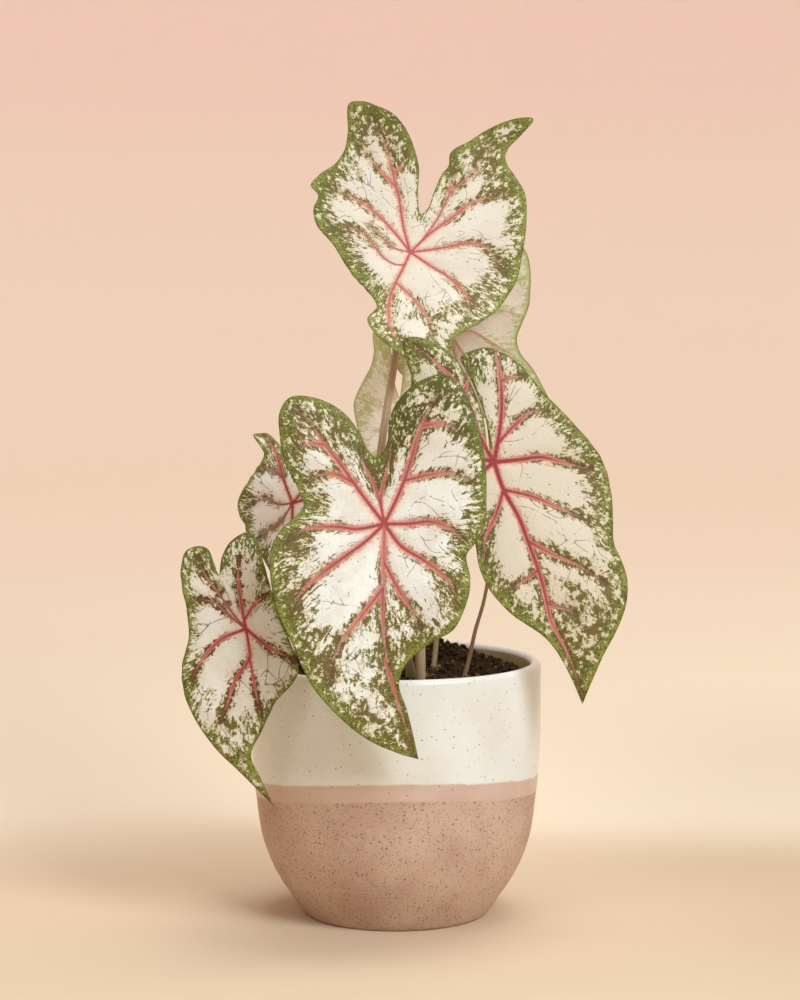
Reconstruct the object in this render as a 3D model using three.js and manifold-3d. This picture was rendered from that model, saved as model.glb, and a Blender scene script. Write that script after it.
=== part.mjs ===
// A potted caladium: seven heart-shaped leaves on thin stalks, a tuber in potting soil, and a two-tone pot.
// Millimetres, +Z up. The origin is the centre of the pot's flat base, and -Y is the side the leaves face.
import * as THREE from 'three';
import { mergeVertices } from 'three/addons/utils/BufferGeometryUtils.js';
import Module from 'manifold-3d';

const wasm = await Module();
wasm.setup();

// ---- Driving dimensions ----
const DEGREE = Math.PI / 180;
const GAP = 0.3;              // clearance that every two touching pieces keep

const POT_WALL = 6;
const POT_FLOOR = 8;
const POT_HEIGHT = 140;
const POT_RIM_RADIUS = 80;
const POT_BASE_RADIUS = 52;
const POT_BASE_EDGE = 1.4;
const POT_INNER_FLOOR_RADIUS = 44;
const POT_SIDES = 48;
const POT_SIDE_STEPS = 10;

const SOIL_EDGE_HEIGHT = 127;  // where the soil meets the wall
const SOIL_CROWN = new THREE.Vector2(0, 22);  // the top of the heap, behind the stalks
const SOIL_CROWN_RISE = 22;
const SOIL_CROWN_SPREAD = 54;
const SOIL_LUMP = 1.3;

const TUBER_CENTRE = new THREE.Vector3(6, -3, 99);
const TUBER_RADIUS = 33;
const TUBER_HALF_HEIGHT = 17;
const TUBER_KNOB = 0.04;       // height of the knobs as a share of the radius

const BLADE_THICKNESS = 0.8;
const BLADE_RINGS = [0.16, 0.42, 0.66, 0.85, 1];
const STALK_SIDES = 8;
const STALK_STEPS = 14;
const STALK_APPROACH = 8;     // a stalk meets its blade square on over this last stretch

const colours = {
  glaze: { color: 0xe9e0cf, roughness: 0.35, metalness: 0 },
  soil: { color: 0x35231a, roughness: 0.95, metalness: 0 },
  tuber: { color: 0x6b4a32, roughness: 0.9, metalness: 0 },
  leaf: { color: 0xcfc9a6, roughness: 0.5, metalness: 0 },
  stalk: { color: 0x8f7355, roughness: 0.55, metalness: 0 },
};

// ---- Solids from closed meshes ----
function onlyPositions(geometry) {
  const bare = geometry.index ? geometry.clone() : geometry;
  bare.deleteAttribute('normal');
  bare.deleteAttribute('uv');
  return mergeVertices(bare, 1e-4);
}

function solidFrom(geometry) {
  const bare = onlyPositions(geometry);
  return new wasm.Manifold(new wasm.Mesh({
    numProp: 3,
    vertProperties: new Float32Array(bare.attributes.position.array),
    triVerts: new Uint32Array(bare.index.array),
  }));
}

function geometryFrom(solid) {
  const mesh = solid.getMesh();
  const geometry = new THREE.BufferGeometry();
  geometry.setAttribute('position', new THREE.BufferAttribute(mesh.vertProperties, 3));
  geometry.setIndex(new THREE.BufferAttribute(mesh.triVerts, 1));
  return geometry;
}

const plant = new THREE.Group();

function addPiece(name, geometry, finish) {
  geometry.computeVertexNormals();
  const piece = new THREE.Mesh(geometry, new THREE.MeshStandardMaterial(colours[finish]));
  piece.name = name;
  plant.add(piece);
}

// A solid of revolution about Z from points (radius, height).
function turned(points, sides) {
  return new THREE.LatheGeometry(points, sides).rotateX(90 * DEGREE);
}

// ---- Pot: straight at the rim, rounding in to a flat base ----
const potSide = new THREE.SplineCurve([
  new THREE.Vector2(POT_BASE_RADIUS, POT_BASE_EDGE),
  new THREE.Vector2(57.4, 9),
  new THREE.Vector2(67, 24),
  new THREE.Vector2(74, 42),
  new THREE.Vector2(77.6, 66),
  new THREE.Vector2(79.5, 94),
  new THREE.Vector2(POT_RIM_RADIUS, POT_HEIGHT - POT_WALL / 2),
]);

// The outside radius at a height, found by halving along the side's curve.
function wallRadius(height) {
  let low = 0;
  let high = 1;
  for (let step = 0; step < 24; step += 1) {
    const middle = (low + high) / 2;
    if (potSide.getPoint(middle).y < height) low = middle;
    else high = middle;
  }
  return potSide.getPoint(low).x;
}

function insideWall(height, clearance) {
  return new THREE.Vector2(wallRadius(height) - POT_WALL - clearance, height + clearance);
}

const insideHeights = [22, 40, 64, 94, 118];

function potGeometry() {
  const profile = [new THREE.Vector2(0, 0), new THREE.Vector2(POT_BASE_RADIUS - POT_BASE_EDGE, 0)];
  profile.push(...potSide.getPoints(POT_SIDE_STEPS));
  const lipCentre = new THREE.Vector2(POT_RIM_RADIUS - POT_WALL / 2, POT_HEIGHT - POT_WALL / 2);
  for (const angle of [36, 72, 108, 144, 180]) {
    const reach = new THREE.Vector2(Math.cos(angle * DEGREE), Math.sin(angle * DEGREE));
    profile.push(reach.multiplyScalar(POT_WALL / 2).add(lipCentre));
  }
  for (const height of [...insideHeights].reverse()) profile.push(insideWall(height, 0));
  profile.push(new THREE.Vector2(POT_INNER_FLOOR_RADIUS, POT_FLOOR), new THREE.Vector2(0, POT_FLOOR));
  return turned(profile, POT_SIDES);
}

addPiece('pot', onlyPositions(potGeometry()), 'glaze');

// ---- Stalks: tapered tubes that follow a curve from the tuber to the back of a blade ----
function stalkGeometry(points, baseRadius, topRadius) {
  const curve = new THREE.CatmullRomCurve3(points, false, 'centripetal');
  const frames = curve.computeFrenetFrames(STALK_STEPS);
  const tube = new THREE.CylinderGeometry(topRadius, baseRadius, 1, STALK_SIDES, STALK_STEPS);
  const places = tube.attributes.position;
  for (let i = 0; i < places.count; i += 1) {
    const along = THREE.MathUtils.clamp(places.getY(i) + 0.5, 0, 1);
    const step = Math.round(along * STALK_STEPS);
    const point = curve.getPointAt(along);
    point.addScaledVector(frames.normals[step], places.getZ(i));
    point.addScaledVector(frames.binormals[step], places.getX(i));
    places.setXYZ(i, point.x, point.y, point.z);
  }
  return onlyPositions(tube);
}

// The same tube made fatter by the clearance and longer at its foot: what a stalk cuts in the soil.
function stalkHole(points, baseRadius, topRadius) {
  const foot = points[0].clone().sub(points[1]).normalize().multiplyScalar(GAP).add(points[0]);
  return solidFrom(stalkGeometry([foot, ...points.slice(1)], baseRadius + GAP, topRadius + GAP));
}

// ---- Blades ----
// Each leaf is drawn flat first, in (u, v). The junction, where the stalk meets the blade, is (0, 0), the tip
// points to -v and the two lobes to +v. The edge runs from the sinus between the lobes down the right side
// to the tip and back up the left. The flat blade is creased along its midrib, ruffled towards the edge and
// rolled over its bends: a bend starts at a line through `at`, acts `toward` an angle, and lifts the blade
// `by` degrees over a width. Then it is set at the junction, facing an azimuth (0 is -Y), tilted and rolled.
// `midrib` steers the midrib's curve to the tip, and `hub` is where the spokes of a lobe's mesh start.
const leaves = [
  {
    name: 'front',
    junction: [-6, -78, 222],
    facing: { azimuth: -3, tilt: 20, roll: 0 },
    crease: 0.07,
    ruffle: { height: 1.4, count: 6, turn: 30 },
    bends: [
      { at: [-35, 40], toward: 135, over: 40, by: -22 },
      { at: [32, 45], toward: 60, over: 40, by: -18 },
      { at: [0, 10], toward: 90, over: 60, by: 8 },
      { at: [0, -50], toward: -90, over: 60, by: -16 },
    ],
    hub: [12, 8],
    midrib: [-2, -72],
    sinus: [-5, 36],
    right: [[-1, 39], [1, 45], [2, 57], [7, 67], [16, 75], [29, 79], [38, 74], [46, 59], [52, 34], [53, 14],
      [52, -2], [47, -11], [43, -17], [45, -29], [44, -40], [37, -56], [25, -63], [13, -73], [9, -84],
      [13, -97], [16, -109]],
    tip: [19, -123],
    left: [[9, -120], [-6, -113], [-23, -99], [-36, -84], [-46, -64], [-54, -47], [-58, -30], [-58, -15],
      [-53, -4], [-46, 3], [-42, 9], [-44, 15], [-48, 24], [-52, 31], [-55, 45], [-55, 59], [-50, 67],
      [-37, 67], [-24, 61], [-15, 51], [-10, 41]],
    stalk: [[12, -24, 107], [13, -42, 134], [12, -44, 170], [3, -56, 206]],
    stalkRadii: [2.7, 1.7],
  },
  {
    name: 'right',
    junction: [52, -48, 252],
    facing: { azimuth: 14, tilt: 17, roll: 0 },
    crease: 0.06,
    ruffle: { height: 1.5, count: 5, turn: 0 },
    bends: [
      { at: [-20, 30], toward: 130, over: 40, by: -10 },
      { at: [10, 40], toward: 80, over: 30, by: -16 },
      { at: [-10, 0], toward: 195, over: 25, by: -40 },
      { at: [15, -60], toward: -65, over: 60, by: -16 },
    ],
    hub: [12, 8],
    midrib: [14, -70],
    sinus: [-2, 6],
    right: [[-2.6, 23], [-5.8, 36], [-10.6, 49], [-13.5, 58], [-4, 62], [4, 62], [12, 58], [19, 53], [27, 42],
      [39, 27], [51, 12], [59, 0], [63, -15], [63, -32], [62, -46], [65, -55], [67, -65], [65, -78],
      [59, -92], [52, -104], [47, -117]],
    tip: [42, -130],
    left: [[36, -117], [27, -101], [20, -93], [4, -82], [-7, -69], [-12, -56], [-14, -41], [-22, -30],
      [-34, -16], [-40, 1], [-43, 19], [-43, 36], [-42, 48], [-46, 62], [-46, 71], [-39, 73], [-29, 70],
      [-19, 61], [-13.5, 52], [-7.6, 38], [-3.8, 23], [-3, 10]],
    stalk: [[24, -12, 107], [37, -24, 134], [43, -24, 159], [48, -24, 177], [54, -28, 224]],
    stalkRadii: [1.5, 1.1],
  },
  {
    name: 'top',
    junction: [8, 46, 364],
    facing: { azimuth: 6, tilt: 28, roll: 0 },
    crease: 0.05,
    ruffle: { height: 1.5, count: 5, turn: 40 },
    bends: [
      { at: [48, 62], toward: 45, over: 35, by: 38 },
      { at: [-38, 66], toward: 130, over: 45, by: -18 },
      { at: [0, 8], toward: 90, over: 70, by: 20 },
      { at: [0, -60], toward: -90, over: 30, by: -30 },
      { at: [0, -8], toward: -90, over: 40, by: 22 },
    ],
    hub: [12, 8],
    midrib: [-12, -30],
    sinus: [7, 24],
    right: [[11, 27], [15, 37], [20, 48], [24, 53], [25, 60], [29, 64], [35, 67], [46, 74], [57, 79],
      [67, 81], [73, 80], [66, 71], [59, 64], [57, 59], [58, 54], [62, 47], [67, 35], [66, 13], [63, -3],
      [59, -19], [52, -31], [43, -45], [31, -56], [21, -63], [17, -72], [11, -79]],
    tip: [3, -81],
    left: [[-7, -76], [-14, -70], [-23, -60], [-27, -48], [-21, -37], [-25, -28], [-33, -16], [-43, 3],
      [-52, 15], [-54, 25], [-51, 34], [-55, 40], [-50, 47], [-40, 55], [-35, 63], [-33, 73], [-32, 90],
      [-24, 91], [-16, 88], [-8, 84], [-1, 76], [4, 65], [7, 52], [6, 37]],
    stalk: [[-8, 2, 112], [-16, 5, 134], [-14, 9, 185], [-9, 18, 249], [0, 34, 308], [5, 50, 342]],
    stalkRadii: [2.6, 1.8],
  },
  {
    name: 'low_left',
    junction: [-79, -62, 165],
    facing: { azimuth: -16, tilt: 12, roll: 0 },
    crease: 0.1,
    ruffle: { height: 1.2, count: 5, turn: 60 },
    bends: [
      { at: [-12, 20], toward: 125, over: 25, by: -18 },
      { at: [4, 25], toward: 80, over: 25, by: -18 },
      { at: [5, -45], toward: -75, over: 40, by: -20 },
    ],
    hub: [12, 8],
    midrib: [-2, -50],
    sinus: [-17, 28],
    right: [[-17, 38], [-14, 49], [-7, 54], [0, 50], [6, 39], [14, 19], [23, -1], [31, -20], [28, -28],
      [20, -37], [13, -52], [7, -66], [12, -78]],
    tip: [19, -93],
    left: [[10, -84], [0, -75], [-13, -63], [-26, -46], [-32, -31], [-33, -19], [-31, -7], [-33, 9],
      [-37, 22], [-39, 35], [-37, 43], [-32, 45], [-26, 43], [-21, 35]],
    stalk: [[-12, -9, 110], [-21, -13, 132], [-34, -24, 149], [-52, -38, 158], [-66, -47, 161]],
    stalkRadii: [2.4, 1.5],
  },
  {
    name: 'left',
    junction: [-56, -22, 228],
    facing: { azimuth: -30, tilt: 16, roll: 0 },
    crease: 0.08,
    ruffle: { height: 1.2, count: 5, turn: 20 },
    bends: [
      { at: [-14, 20], toward: 125, over: 25, by: -30 },
      { at: [10, 10], toward: 60, over: 25, by: -10 },
      { at: [0, -30], toward: -90, over: 40, by: -14 },
    ],
    hub: [5, 14],
    midrib: [2, -34],
    sinus: [0, 12],
    right: [[4, 15], [7, 23], [12, 30], [20, 30], [27, 22], [32, 8], [32, -5], [30, -22], [26, -38],
      [18, -52]],
    tip: [11, -64],
    left: [[4, -55], [-3, -44], [-14, -30], [-25, -19], [-27, -14], [-32, -8], [-34, -2], [-31, 7],
      [-25, 19], [-23, 26], [-37, 40], [-29, 41], [-18, 35], [-10, 28], [-5, 20]],
    stalk: [[3, -22, 107], [8, -34, 134], [-2, -34, 170], [-32, -20, 210]],
    stalkRadii: [2.4, 1.4],
  },
  {
    name: 'back_right',
    junction: [32, 75, 317],
    facing: { azimuth: 172, tilt: 8, roll: -58 },
    crease: 0.07,
    ruffle: { height: 1.2, count: 5, turn: 20 },
    bends: [
      { at: [7, 0], toward: 3, over: 25, by: 34 },
      { at: [-13, -21], toward: 208, over: 40, by: 14 },
    ],
    hub: [12, 4],
    midrib: [-2, -34],
    sinus: [-1, 8],
    right: [[7, 16], [18, 24], [30, 25], [42, 17], [49, 2], [50, -16], [44, -32], [33, -46], [20, -56],
      [9, -62]],
    tip: [1, -66],
    left: [[-8, -50], [-12, -39], [-18, -33], [-27, -31], [-38, -29], [-46, -25], [-56, -19], [-63, -12],
      [-66, -2], [-64, 10], [-56, 24], [-44, 32], [-30, 31], [-15, 24], [-6, 16]],
    stalk: [[14, -8, 111], [20, -20, 136], [25, 0, 190], [32, 26, 250], [37, 47, 294]],
    stalkRadii: [1.6, 1.3],
  },
  {
    name: 'back_left',
    junction: [3, 54, 265],
    facing: { azimuth: 190, tilt: -4, roll: 0 },
    crease: 0.07,
    ruffle: { height: 1.2, count: 5, turn: 50 },
    bends: [
      { at: [0, 20], toward: 90, over: 40, by: 12 },
      { at: [0, -40], toward: -90, over: 40, by: -14 },
    ],
    hub: [8, 12],
    midrib: [0, -32],
    sinus: [1, 17],
    right: [[4, 28], [5, 43], [7, 55], [11, 59], [15, 54], [15, 43], [17, 35], [23, 24], [27, 14], [26, 4],
      [24, -4], [20, -17], [15, -33], [8, -48]],
    tip: [1, -64],
    left: [[-9, -47], [-18, -29], [-24, -11], [-27, 7], [-28, 22], [-25, 38], [-20, 50], [-14, 57],
      [-8, 58], [-4, 53], [-2, 43], [-1, 28]],
    stalk: [[0, 6, 113], [-4, 12, 134], [-3, 20, 180], [1, 34, 236]],
    stalkRadii: [2.3, 1.5],
  },
];

function frameOf({ junction, facing }) {
  const azimuth = facing.azimuth * DEGREE;
  const tilt = facing.tilt * DEGREE;
  const upper = new THREE.Vector3(
    Math.sin(azimuth) * Math.cos(tilt),
    -Math.cos(azimuth) * Math.cos(tilt),
    Math.sin(tilt),
  );
  const across = new THREE.Vector3(Math.cos(azimuth), Math.sin(azimuth), 0);
  across.applyAxisAngle(upper, facing.roll * DEGREE);
  const towardSinus = upper.clone().cross(across);
  return new THREE.Matrix4().makeBasis(across, towardSinus, upper).setPosition(...junction);
}

function bendPoint(point, { at, toward, over, by }) {
  const forwardU = Math.cos(toward * DEGREE);
  const forwardV = Math.sin(toward * DEGREE);
  const along = (point.x - at[0]) * forwardU + (point.y - at[1]) * forwardV;
  if (along <= 0) return;
  const across = (point.y - at[1]) * forwardU - (point.x - at[0]) * forwardV;
  const perMm = (by * DEGREE) / over;
  const turn = perMm * Math.min(along, over);
  const beyond = Math.max(along - over, 0);
  const reach = Math.sin(turn) / perMm + beyond * Math.cos(turn) - point.z * Math.sin(turn);
  const lift = (1 - Math.cos(turn)) / perMm + beyond * Math.sin(turn) + point.z * Math.cos(turn);
  point.set(
    at[0] + reach * forwardU - across * forwardV,
    at[1] + reach * forwardV + across * forwardU,
    lift,
  );
}

// The place in space of a point of the flat blade's upper face.
function bladePoint(leaf, u, v) {
  const creaseSoftness = 10;
  const ruffleReach = 60;
  const fromMidrib = (u * leaf.tip[1] - v * leaf.tip[0]) / Math.hypot(...leaf.tip);
  const creased = leaf.crease * (Math.hypot(fromMidrib, creaseSoftness) - creaseSoftness);
  const { height, count, turn } = leaf.ruffle;
  const wave = Math.sin(count * Math.atan2(v, u) + turn * DEGREE);
  const ruffled = height * (Math.hypot(u, v) / ruffleReach) ** 2 * wave;
  const point = new THREE.Vector3(u, v, creased + ruffled);
  for (const bend of leaf.bends) bendPoint(point, bend);
  return point.applyMatrix4(leaf.frame);
}

function bladeNormal(leaf, u, v) {
  const near = 0.2;
  const alongU = bladePoint(leaf, u + near, v).sub(bladePoint(leaf, u - near, v));
  const alongV = bladePoint(leaf, u, v + near).sub(bladePoint(leaf, u, v - near));
  return alongU.cross(alongV).normalize();
}

// Where the spoke to an edge point starts: on the midrib below the junction, beside it in the two lobes.
function spokeFoot(leaf, midribCurve, [, v], side) {
  const fullLobe = 20;
  if (v > 0) {
    const share = Math.min(v / fullLobe, 1);
    return new THREE.Vector2(side * leaf.hub[0] * share, leaf.hub[1] * share);
  }
  const share = 0.75;
  return midribCurve.getPoint(share * Math.min(v / leaf.tip[1], 1));
}

// Rings of points from the midrib out to the edge, alike on both faces, joined round the edge.
function bladeGeometry(leaf) {
  const origin = new THREE.Vector2(0, 0);
  const midribCurve = new THREE.QuadraticBezierCurve(
    origin,
    new THREE.Vector2(...leaf.midrib),
    new THREE.Vector2(...leaf.tip),
  );
  const edge = [[leaf.sinus, 0], ...leaf.right.map((point) => [point, 1]), [leaf.tip, 0]];
  edge.push(...leaf.left.map((point) => [point, -1]));
  edge.reverse();
  const flat = [];
  for (const ring of BLADE_RINGS) {
    for (const [point, side] of edge) {
      const foot = spokeFoot(leaf, midribCurve, point, side);
      flat.push(foot.lerp(new THREE.Vector2(...point), ring));
    }
  }

  const count = edge.length;
  const faces = THREE.ShapeUtils.triangulateShape(flat.slice(0, count), []);
  for (let ring = 0; ring < BLADE_RINGS.length - 1; ring += 1) {
    for (let i = 0; i < count; i += 1) {
      const inner = ring * count + i;
      const innerNext = ring * count + ((i + 1) % count);
      faces.push([inner, inner + count, innerNext + count], [inner, innerNext + count, innerNext]);
    }
  }

  const positions = [];
  for (const { x, y } of flat) positions.push(...bladePoint(leaf, x, y).toArray());
  for (const { x, y } of flat) {
    const under = bladeNormal(leaf, x, y).multiplyScalar(-BLADE_THICKNESS);
    positions.push(...bladePoint(leaf, x, y).add(under).toArray());
  }
  const index = faces.flat();
  for (const [a, b, c] of faces) index.push(a + flat.length, c + flat.length, b + flat.length);
  const outerRing = (BLADE_RINGS.length - 1) * count;
  for (let i = 0; i < count; i += 1) {
    const upper = outerRing + i;
    const upperNext = outerRing + ((i + 1) % count);
    index.push(upper, upper + flat.length, upperNext + flat.length);
    index.push(upper, upperNext + flat.length, upperNext);
  }
  const geometry = new THREE.BufferGeometry();
  geometry.setAttribute('position', new THREE.Float32BufferAttribute(positions, 3));
  geometry.setIndex(index);
  return geometry;
}

const stalkHoles = [];
for (const leaf of leaves) {
  leaf.frame = frameOf(leaf);
  addPiece(`blade_${leaf.name}`, bladeGeometry(leaf), 'leaf');

  const [baseRadius, topRadius] = leaf.stalkRadii;
  const behind = bladeNormal(leaf, 0, 0).negate();
  const seat = bladePoint(leaf, 0, 0).addScaledVector(behind, BLADE_THICKNESS + GAP);
  const approach = seat.clone().addScaledVector(behind, STALK_APPROACH);
  const route = [...leaf.stalk.map((place) => new THREE.Vector3(...place)), approach, seat];
  addPiece(`stalk_${leaf.name}`, stalkGeometry(route, baseRadius, topRadius), 'stalk');
  stalkHoles.push(stalkHole(route, baseRadius, topRadius));
}

// ---- Tuber: a flattened knobbly ball, with a socket for the foot of each stalk ----
function tuberGeometry(grown) {
  const ball = new THREE.SphereGeometry(1, 20, 12).rotateX(90 * DEGREE);
  const places = ball.attributes.position;
  const size = new THREE.Vector3(TUBER_RADIUS + grown, TUBER_RADIUS + grown, TUBER_HALF_HEIGHT + grown);
  for (let i = 0; i < places.count; i += 1) {
    const point = new THREE.Vector3().fromBufferAttribute(places, i);
    const wave = Math.sin(5 * point.x + 1) * Math.cos(6 * point.y) * (1 - point.z ** 2);
    point.multiply(size).multiplyScalar(1 + TUBER_KNOB * wave).add(TUBER_CENTRE);
    places.setXYZ(i, point.x, point.y, point.z);
  }
  return ball;
}

let tuber = solidFrom(tuberGeometry(0));
for (const hole of stalkHoles) tuber = tuber.subtract(hole);
addPiece('tuber', geometryFrom(tuber), 'tuber');

// ---- Soil: fills the pot, heaped in the middle, with a plain hole round each stalk ----
function soilHeight(x, y) {
  const crown = Math.hypot(x - SOIL_CROWN.x, y - SOIL_CROWN.y) / SOIL_CROWN_SPREAD;
  const lumps = Math.sin(0.31 * x + 0.8) * Math.cos(0.27 * y) + 0.7 * Math.sin(0.22 * x - 0.37 * y);
  return SOIL_EDGE_HEIGHT + SOIL_CROWN_RISE * Math.exp(-crown * crown) + SOIL_LUMP * lumps;
}

function soilGeometry() {
  const bottom = POT_FLOOR + GAP;
  const profile = [new THREE.Vector2(0, bottom), new THREE.Vector2(POT_INNER_FLOOR_RADIUS - 1, bottom)];
  for (const height of insideHeights) profile.push(insideWall(height, GAP));
  const edgeRadius = wallRadius(SOIL_EDGE_HEIGHT) - POT_WALL - GAP;
  const topRings = [1, 0.86, 0.72, 0.58, 0.44, 0.3, 0.15, 0];
  for (const share of topRings) profile.push(new THREE.Vector2(edgeRadius * share, SOIL_EDGE_HEIGHT));
  const mound = turned(profile, 36);
  const places = mound.attributes.position;
  for (let i = 0; i < places.count; i += 1) {
    if (places.getZ(i) < SOIL_EDGE_HEIGHT - 1) continue;
    places.setZ(i, soilHeight(places.getX(i), places.getY(i)));
  }
  return mound;
}

let soil = solidFrom(soilGeometry()).subtract(solidFrom(tuberGeometry(GAP)));
for (const hole of stalkHoles) soil = soil.subtract(hole);
addPiece('soil', geometryFrom(soil), 'soil');

export default plant;
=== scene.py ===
# %% [markdown]
# # A potted caladium
# This lesson dresses a caladium, an aroid with big painted leaves, that was first built as plain solids.
# The solids stay the frame: they say how large each piece is and where it stands. Here each one gets the
# skin of the real thing: thin veined leaves, streaked stalks, crumbly soil and a two-tone stoneware pot.
# Sizes are written in millimetres and turned into metres at the last moment, when a mesh is made.

# %% Load the frame
import bpy
import math
import random
import numpy as np
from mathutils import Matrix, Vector, geometry, noise


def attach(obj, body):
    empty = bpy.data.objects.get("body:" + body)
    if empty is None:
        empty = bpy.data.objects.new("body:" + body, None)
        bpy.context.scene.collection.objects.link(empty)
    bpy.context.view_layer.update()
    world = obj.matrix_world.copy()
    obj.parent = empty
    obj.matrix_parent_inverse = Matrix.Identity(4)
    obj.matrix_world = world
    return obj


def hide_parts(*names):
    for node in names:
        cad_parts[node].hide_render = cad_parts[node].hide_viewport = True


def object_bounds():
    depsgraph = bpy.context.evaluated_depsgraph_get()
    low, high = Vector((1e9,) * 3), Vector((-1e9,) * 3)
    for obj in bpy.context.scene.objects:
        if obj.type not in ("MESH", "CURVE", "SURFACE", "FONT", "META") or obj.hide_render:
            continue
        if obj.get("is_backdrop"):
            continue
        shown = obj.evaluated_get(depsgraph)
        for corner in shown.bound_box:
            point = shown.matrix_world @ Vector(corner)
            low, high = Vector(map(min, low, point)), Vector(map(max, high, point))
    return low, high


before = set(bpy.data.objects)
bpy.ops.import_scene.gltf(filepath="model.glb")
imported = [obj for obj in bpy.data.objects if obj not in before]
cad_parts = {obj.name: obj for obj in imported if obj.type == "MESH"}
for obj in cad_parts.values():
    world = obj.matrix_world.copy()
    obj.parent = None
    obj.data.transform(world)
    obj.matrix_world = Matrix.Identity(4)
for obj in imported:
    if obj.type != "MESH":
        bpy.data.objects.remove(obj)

MM = 0.001
CAD_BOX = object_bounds()
print("frame size in mm:", [round((high - low) / MM, 1) for low, high in zip(*CAD_BOX)])

# %% [markdown]
# ## The camera
# A long lens from the front, a little above the rim of the pot and tipped down by a few degrees, keeps
# the pot's sides upright and lets the top of the soil show. The camera comes first, so every later step
# can be looked at as soon as it is made.

# %% Place the camera
CAMERA_PLACE = (2.2, -1400, 344)
CAMERA_PITCH = 4.74       # degrees below level
LENS = 92.16
FILM = 36                 # the width of the sensor behind that lens

camera = bpy.data.objects.new("camera", bpy.data.cameras.new("camera"))
bpy.context.scene.collection.objects.link(camera)
camera.location = Vector(CAMERA_PLACE) * MM
camera.rotation_euler = (math.radians(90 - CAMERA_PITCH), 0, 0)
camera.data.lens = LENS
camera.data.sensor_width = FILM
bpy.context.scene.camera = camera
print("camera at", CAMERA_PLACE, "mm, tipped down", CAMERA_PITCH, "degrees")

# %% [markdown]
# ## Tools for meshes and finishes
# Every piece below is worked out as arrays of points and faces, so one function turns such arrays into
# an object, another one gives it numbers to keep at each point, and a small class writes materials as
# a chain of nodes. The alternative, building each node tree by hand, would need four lines a node.

# %% Turn points and faces into a piece
def piece_from(name, points, faces, finishes, face_finish=None):
    mesh = bpy.data.meshes.new(name)
    mesh.from_pydata((np.asarray(points) * MM).tolist(), [], [list(face) for face in faces])
    for finish in finishes:
        mesh.materials.append(finish)
    if face_finish is not None:
        mesh.polygons.foreach_set("material_index", np.asarray(face_finish, dtype=np.int32))
    mesh.polygons.foreach_set("use_smooth", np.ones(len(mesh.polygons), dtype=bool))
    mesh.update()
    piece = bpy.data.objects.new(name, mesh)
    bpy.context.scene.collection.objects.link(piece)
    return piece


def keep_at_points(piece, name, values):
    values = np.asarray(values, dtype=np.float32)
    kind, slot = ("FLOAT", "value") if values.ndim == 1 else ("FLOAT_VECTOR", "vector")
    layer = piece.data.attributes.new(name, kind, "POINT")
    layer.data.foreach_set(slot, values.ravel())


def stands_for(piece, node):
    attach(piece, "root")
    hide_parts(node)
    print(f"{piece.name}: {len(piece.data.polygons)} faces, stands for {node}")


# %% Write a material as a chain of nodes
def colour(red, green, blue):
    """A colour given as it looks on a screen, from 0 to 255, as the light values that a node wants."""
    light = [((c / 255 + 0.055) / 1.055) ** 2.4 if c > 10 else c / 3294.6 for c in (red, green, blue)]
    return (*light, 1)


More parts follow.
